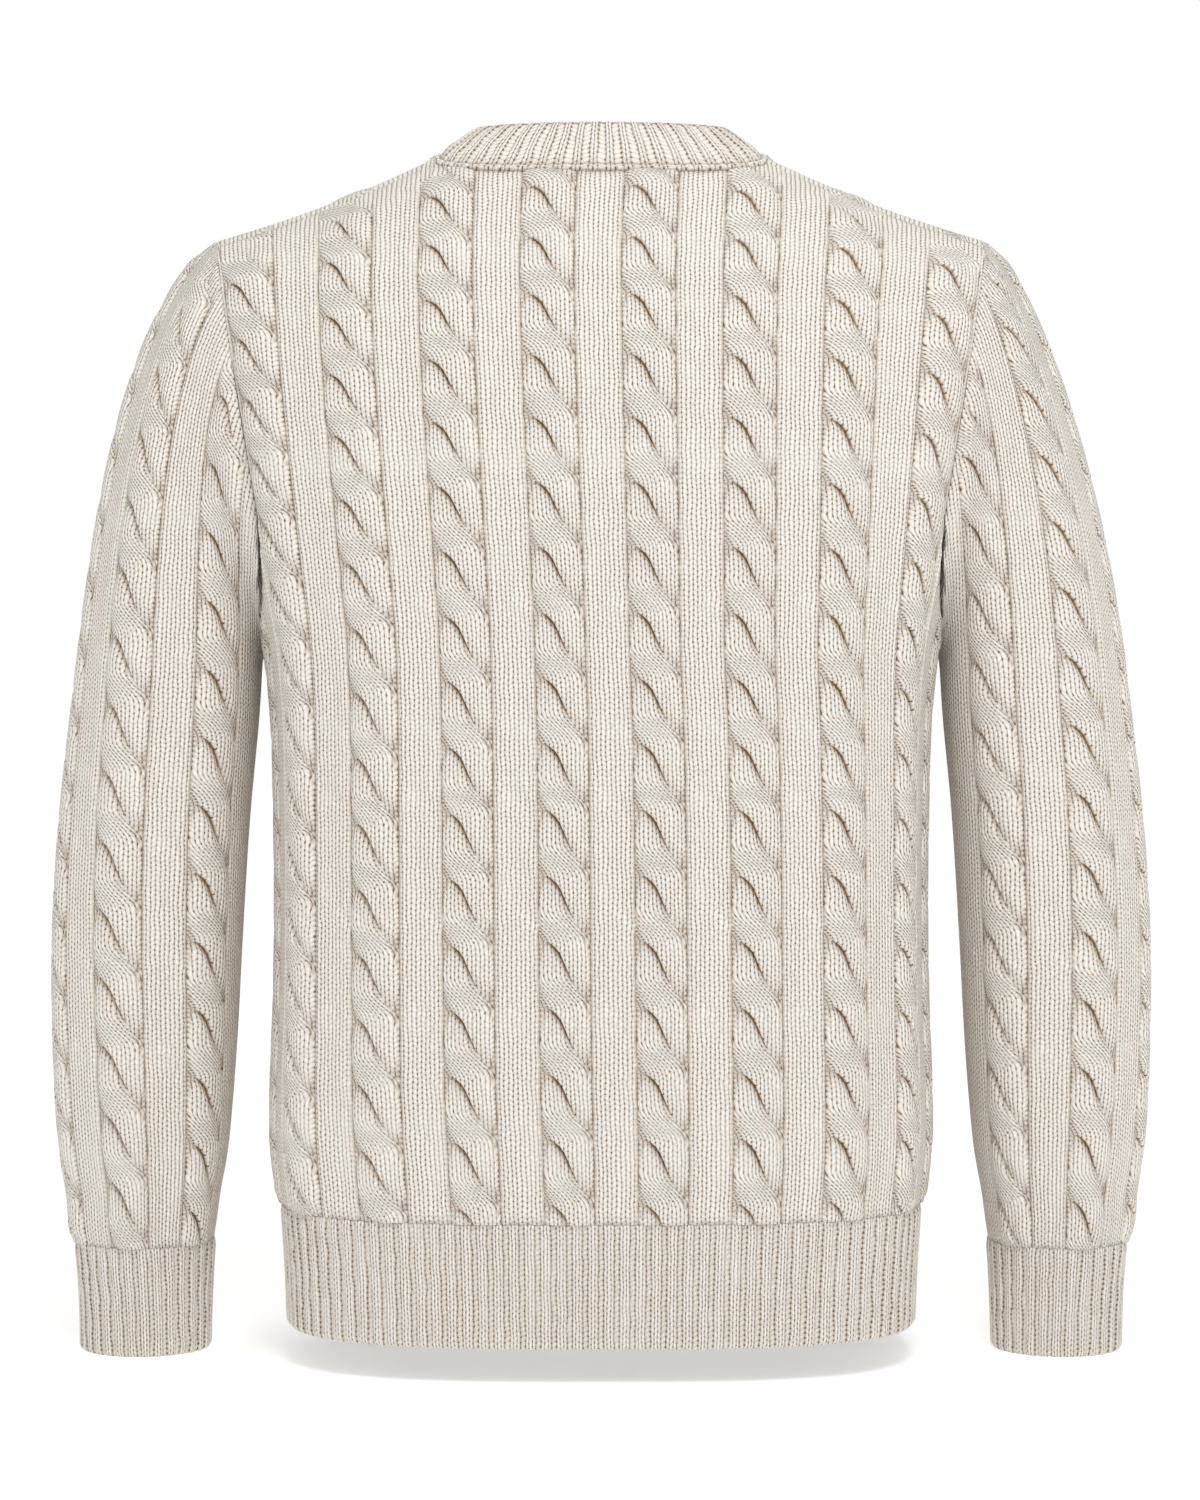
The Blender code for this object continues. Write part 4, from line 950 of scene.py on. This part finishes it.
RIB_KEPT = 0.35  # of a rib's relief at its foot and at its head
FOOT_REACH = 0.0025
HEAD_REACH = 0.0050
HEAD_LIFT = 0.0002
FOOT_ROLL = 0.0009  # how deep a ring's free edge turns in
FOOT_ROLL_REACH = 0.003
INNER_STEPS = 4
RING_STEP = 0.0008  # of the way round, between the places that a level normal is read from


def rib_rows(height):
    """Rows up a rib: close beside its edges, and wider apart between them."""
    near = (0.0, 0.0006, 0.0015, 0.0028, 0.0045, 0.0075)
    middle = np.linspace(near[-1], height - near[-1], round(height / PLAIN_ROW))
    return np.array([*near[:-1], *middle, *(height - each for each in near[-2::-1])])


def hole(rows, share):
    """The shade painted in the small hole at the head of each groove, below the joint."""
    near = min(share, 1 - share)
    deep = 0.55 * (1 - float(ease(0.04, 0.14, near)))
    return deep * np.exp(-(((rows[-1] - rows) / 0.0012 - 0.4) ** 2))


def ring_line(ring, part, height):
    """Points and level normals up a ring of the body or a sleeve, at a part of the way round."""
    beside = ring((part + RING_STEP) % 1, height) - ring((part - RING_STEP) % 1, height)
    normals = unit(np.stack([beside[:, 1], -beside[:, 0], 0 * height], axis=-1))
    return ring(part, height), normals


def sew_ring(cloth, columns):
    """All of a ribbed ring's columns into its skins and edges."""
    for (left, left_in), (right, right_in) in zip(columns, columns[1:]):
        cloth.sew(left, right)
        cloth.sew(left_in, right_in, inner=True)
    cloth.edges(columns)
    cloth.close(columns)


def rib_cloth(name, ribs, ring, bottom, height):
    """A ribbed ring from bottom up. ring(part, height) gives its points up a line."""
    cloth = Cloth(name)
    rows = rib_rows(height)
    inner_rows = rows[:: (len(rows) - 1) // INNER_STEPS]
    if inner_rows[-1] != rows[-1]:
        inner_rows = np.append(inner_rows, rows[-1])
    away = ease(0, HEAD_REACH, height - rows)
    kept = RIB_KEPT + (1 - RIB_KEPT) * ease(0, FOOT_REACH, rows)
    kept = kept * (RIB_KEPT + (1 - RIB_KEPT) * away)
    level = HEAD_LIFT * (1 - away) - FOOT_ROLL * np.clip(1 - rows / FOOT_ROLL_REACH, 0, 1) ** 2
    legs_a_rib = ONE_AND_ONE.legs + 1
    places = [(rib, share) for rib in range(ribs) for share in ONE_AND_ONE.shares] + [(ribs, 0.0)]
    columns = []
    for rib, share in places:
        part = (rib + share) / ribs
        lift, legs, groove, line = rib_profile(ONE_AND_ONE, share)
        points, normals = ring_line(ring, part, bottom + rows)
        points = points + normals * (lift * kept + level)[:, None]
        # The shade painted in the groove and in the hole at its head
        depth = np.maximum(hole(rows, share), groove * ease(0.0, 0.004, rows[-1] - rows))
        shade = np.stack([depth, rows * 0 + line], axis=-1)
        legs += legs_a_rib * rib
        outer = cloth.skin(points, rows, rows, legs, part, rows / rows[-1], shade)
        points, normals = ring_line(ring, part, bottom + inner_rows)
        points, legs = points - normals * WALL, legs_a_rib * (rib + share)
        climb = inner_rows / rows[-1]
        columns.append((outer, cloth.skin(points, inner_rows, inner_rows, legs, part, climb)))
    sew_ring(cloth, columns)
    return cloth


def hem_ring(part, height):
    turned = 1 if part < 0.5 else -1
    across, back = ring_place(-SIDE_SEAM + 4 * SIDE_SEAM * (part % 0.5))
    x = across * smooth(BODY_LEVELS, "half_width", height) * turned
    y = -back * smooth(BODY_LEVELS, "half_depth", height) * turned
    return np.stack([x, y, height], axis=-1)


hem_height = HEM_RIB_HEIGHT - SEAM_GAP / 2
hem = rib_cloth("ribbed_hem", HEM_RIBS, hem_ring, 0.0, hem_height).build(wool)
dress(hem, "hem_rib")

# The cuffs: rings of the same rib at the ends of the sleeves, knitted on below them. They
# keep the sleeves' turn, so that their ribs go on from its wales.

CUFF_RIBS = 31
CUFF_HEIGHT = CUFF_TOP - SEAM_GAP / 2 - CUFF_EDGE
for arm in ARMS:
    tube = Sleeve(arm).tube

    def cuff_ring(part, height, tube=tube):
        return tube(-UNDERARM + 2 * UNDERARM * part, height)

    cuff = rib_cloth(f"{arm.name}_ribbed_cuff", CUFF_RIBS, cuff_ring, CUFF_EDGE, CUFF_HEIGHT)
    cuff = cuff.build(wool)
    node = f"cuff_{arm.name}"
    dress(cuff, node)

# The neckband: a folded rib that is linked to the neck with a chain of stitches, and drawn
# in by its ribs. Its seam shows as a small roll along its foot.

BAND_RIB_WIDTH = 0.0104  # along its foot
BAND_TOP_SCALE = (0.71, 0.85)  # of its upper edge against its foot
BAND_RISE = {"back_panel": 0.0305, "front_panel": 0.022, "sides": 0.0170}
BAND_BULGE = 0.0012
BAND_TURN = 0.12  # share of its height over which it turns up from the panels
CHAIN_HEIGHT = 0.0004  # of the stitches of the chain, two to a rib
CHAIN_FOOT = (0, 0.03)  # shares of the band's height from where to where they rise
CHAIN_HEAD = (0.06, 0.09)
# A row's share of the band's height, its lift, its share of the ribs' relief, and the shade
# painted along it
BandRow = namedtuple("BandRow", "share lift ribbed shade")
BAND_ROWS = [BandRow(*row) for row in (
    (0.000, -0.0006, 0.0, 0.70),
    (0.016, 0.0004, 0.0, 0.20),
    (0.036, 0.0013, 0.0, 0.00),
    (0.064, 0.0013, 0.0, 0.00),
    (0.090, 0.0003, 0.0, 0.30),
    (0.108, -0.0003, 0.05, 0.48),
    (0.140, 0.0000, 0.16, 0.22),
    (0.190, 0.0002, 0.34, 0.14),
    (0.240, 0.0003, 0.62, 0.05),
    (0.310, 0.0004, 0.92, 0.0),
    (0.400, 0.0005, 1.00, 0.0),
    (0.550, 0.0004, 1.00, 0.0),
    (0.700, 0.0004, 1.00, 0.0),
    (0.820, 0.0003, 1.00, 0.0),
    (0.870, 0.0002, 0.95, 0.0),
    (0.900, 0.0001, 0.85, 0.0),
    (0.925, 0.0001, 0.70, 0.0),
    (0.948, 0.0000, 0.45, 0.0),
    (0.970, -0.0002, 0.20, 0.0),
    (0.988, -0.0007, 0.05, 0.0),
    (1.000, -0.0013, 0.0, 0.0),
)]
InnerRow = namedtuple("InnerRow", "share walls")
BAND_INNER_ROWS = [InnerRow(*row) for row in (
    (0.00, 1.0),
    (0.08, 1.3),
    (0.30, 1.5),
    (0.65, 1.5),
    (0.94, 1.4),
    (1.00, 1.1),
)]
NECK_SAMPLES = 120  # along the neck of each panel


def neck_line():
    """The neck's edge and the outward normals along it, by the back from -X and round, and
    how high the band rises there."""
    fields = []
    for panel in (BACK, FRONT):
        edge = []
        for place in np.sin(np.linspace(-math.pi / 2, math.pi / 2, NECK_SAMPLES + 1))[:-1]:
            wale = panel.wale(float(NECK_REPEATS * place))
            edge.append(np.concatenate(wale.at(np.array([wale.length])), axis=1)[0])
        edge = np.array(edge)
        lowest = edge[:, 2].min()
        share = (edge[:, 2] - lowest) / (NECK_POINT_HEIGHT - lowest)
        middle = BAND_RISE[panel.name]
        rise = middle + (BAND_RISE["sides"] - middle) * share
        fields.append(np.concatenate([edge, rise[:, None]], axis=1))
    return np.concatenate([*fields, fields[0][:1]])


class Band:
    """The band's own lines: parts of the way round it, and its foot, its head and the ways
    out of the cloth at each."""

    def __init__(self):
        line = neck_line()
        lengths = lengths_along(line[:, :3])
        self.ribs = round(lengths[-1] / BAND_RIB_WIDTH)
        ribs = range(self.ribs)
        self.places = [(rib, share) for rib in ribs for share in RAISED_WALE.shares]
        self.places.append((self.ribs, 0.0))
        self.parts = np.array([(rib + share) / self.ribs for rib, share in self.places])
        found = found_at(self.parts * lengths[-1], lengths, line)
        self.feet = found[:, :3]
        self.facing = unit(found[:, 3:6])
        self.heads = self.feet * (*BAND_TOP_SCALE, 1) + found[:, 6:] * (0, 0, 1)
        ring = self.feet[:-1]
        around = np.roll(ring, -4, axis=0) - np.roll(ring, 4, axis=0)
        around = np.concatenate([around, around[:1]])
        self.out = unit(np.cross(around, self.heads - self.feet))

    def column(self, number, climb, lift):
        """Points up the band at one of its places, lifted off its plain surface."""
        turned = ease(0, BAND_TURN, climb)[:, None]
        way = unit(self.facing[number] * (1 - turned) + self.out[number] * turned)
        foot, head = self.feet[number], self.heads[number]
        bulge = BAND_BULGE * np.sin(math.pi * climb)
        return foot + (head - foot) * climb[:, None] + way * (bulge + lift)[:, None]


def band_cloth():
    band = Band()
    cloth = Cloth("ribbed_neckband")
    climb, base, ribbed, dark = np.array(BAND_ROWS).T
    inner_climb, walls = np.array(BAND_INNER_ROWS).T
    columns = []
    for number, (rib, share) in enumerate(band.places):
        part = band.parts[number]
        near = min(share, 1 - share)
        lift, legs, groove, line = rib_profile(RAISED_WALE, share)
        legs += (RAISED_WALE.legs + 1) * rib
        height = float(np.linalg.norm(band.heads[number] - band.feet[number]))
        chain = CHAIN_HEIGHT * math.cos(4 * math.pi * part * band.ribs)
        chain = chain * ease(*CHAIN_FOOT, climb) * (1 - ease(*CHAIN_HEAD, climb))
        points = band.column(number, climb, base + ribbed * lift + chain)
        # Painted shade: the dark arches at the heads of the channels, and the dots of the
        # textured zone
        channel = 1 - float(ease(0.17, 0.25, near))
        arch = np.exp(-(((climb - 0.945 + 0.030 * (near / 0.25) ** 2) / 0.014) ** 2))
        dots = dark * (0.55 + 0.45 * (number % 2))
        depth = np.clip(dots + 1.1 * channel * arch + groove * ribbed, 0, 1)
        shade = np.stack([depth, ribbed * line], axis=-1)
        outer = cloth.skin(points, climb * height, climb, legs, part, climb, shade)
        points = band.column(number, inner_climb, -WALL * walls)
        v = inner_climb * height
        columns.append((outer, cloth.skin(points, v, inner_climb, legs, part, inner_climb)))
    sew_ring(cloth, columns)
    return cloth


band = band_cloth().build(wool)
dress(band, "neckband")

# The room: a pale floor that the cuffs just reach, even soft light, and the camera.

FLOOR_HEIGHT = CUFF_EDGE - NECK_POINT_HEIGHT
FLOOR_REACH = 30.0
FLOOR_GLOW = 0.46
floor_mesh = bpy.data.meshes.new("pale_floor")
corners = [(x * FLOOR_REACH, y * FLOOR_REACH, 0) for x, y in ((-1, -1), (1, -1), (1, 1), (-1, 1))]
floor_mesh.from_pydata(corners, [], [(0, 1, 2, 3)])
WHITE = (1.0, 1.0, 1.0, 1)
paper = {"Base Color": (0.93, 0.93, 0.93, 1), "Roughness": 1.0, "Specular IOR Level": 0.0}
paper |= {"Emission Color": WHITE, "Emission Strength": FLOOR_GLOW}
floor_mesh.materials.append(shaded("white paper", paper)[0])
placed("pale_floor", floor_mesh, (0, 0, FLOOR_HEIGHT))

ROOM_LIGHT = 0.60  # that falls on things, while the room itself is seen as white
world = bpy.data.worlds.new("bright room")
bpy.context.scene.world = world
world.use_nodes = True
sky = world.node_tree.nodes["Background"]
sky.inputs["Color"].default_value = WHITE
seen = Shade(world.node_tree).node("ShaderNodeLightPath", {}, {})
strength = seen * (1 - ROOM_LIGHT) + ROOM_LIGHT
world.node_tree.links.new(strength.socket, sky.inputs["Strength"])

KEY_PLACE = Vector((0.25, -1.4, 1.45))
KEY_TARGET = Vector((0, 0, -0.25))
key_light = bpy.data.lights.new("large soft key", "AREA")
key_light.shape = "DISK"
key_light.size = 0.9
key_light.energy = 21.8
key = placed("large soft key", key_light, KEY_PLACE)
key.rotation_euler = (KEY_TARGET - KEY_PLACE).to_track_quat("-Z", "Y").to_euler()

CAMERA_PLACE = Vector((-0.0006, -2.1, 0.3386 - NECK_POINT_HEIGHT))
camera_data = bpy.data.cameras.new("camera")
camera_data.sensor_width = 36.0
camera_data.lens = 83.66
camera = placed("camera", camera_data, CAMERA_PLACE)
camera.rotation_euler = (math.pi / 2, 0, 0)
bpy.context.scene.camera = camera
bpy.context.scene.view_settings.view_transform = "Standard"
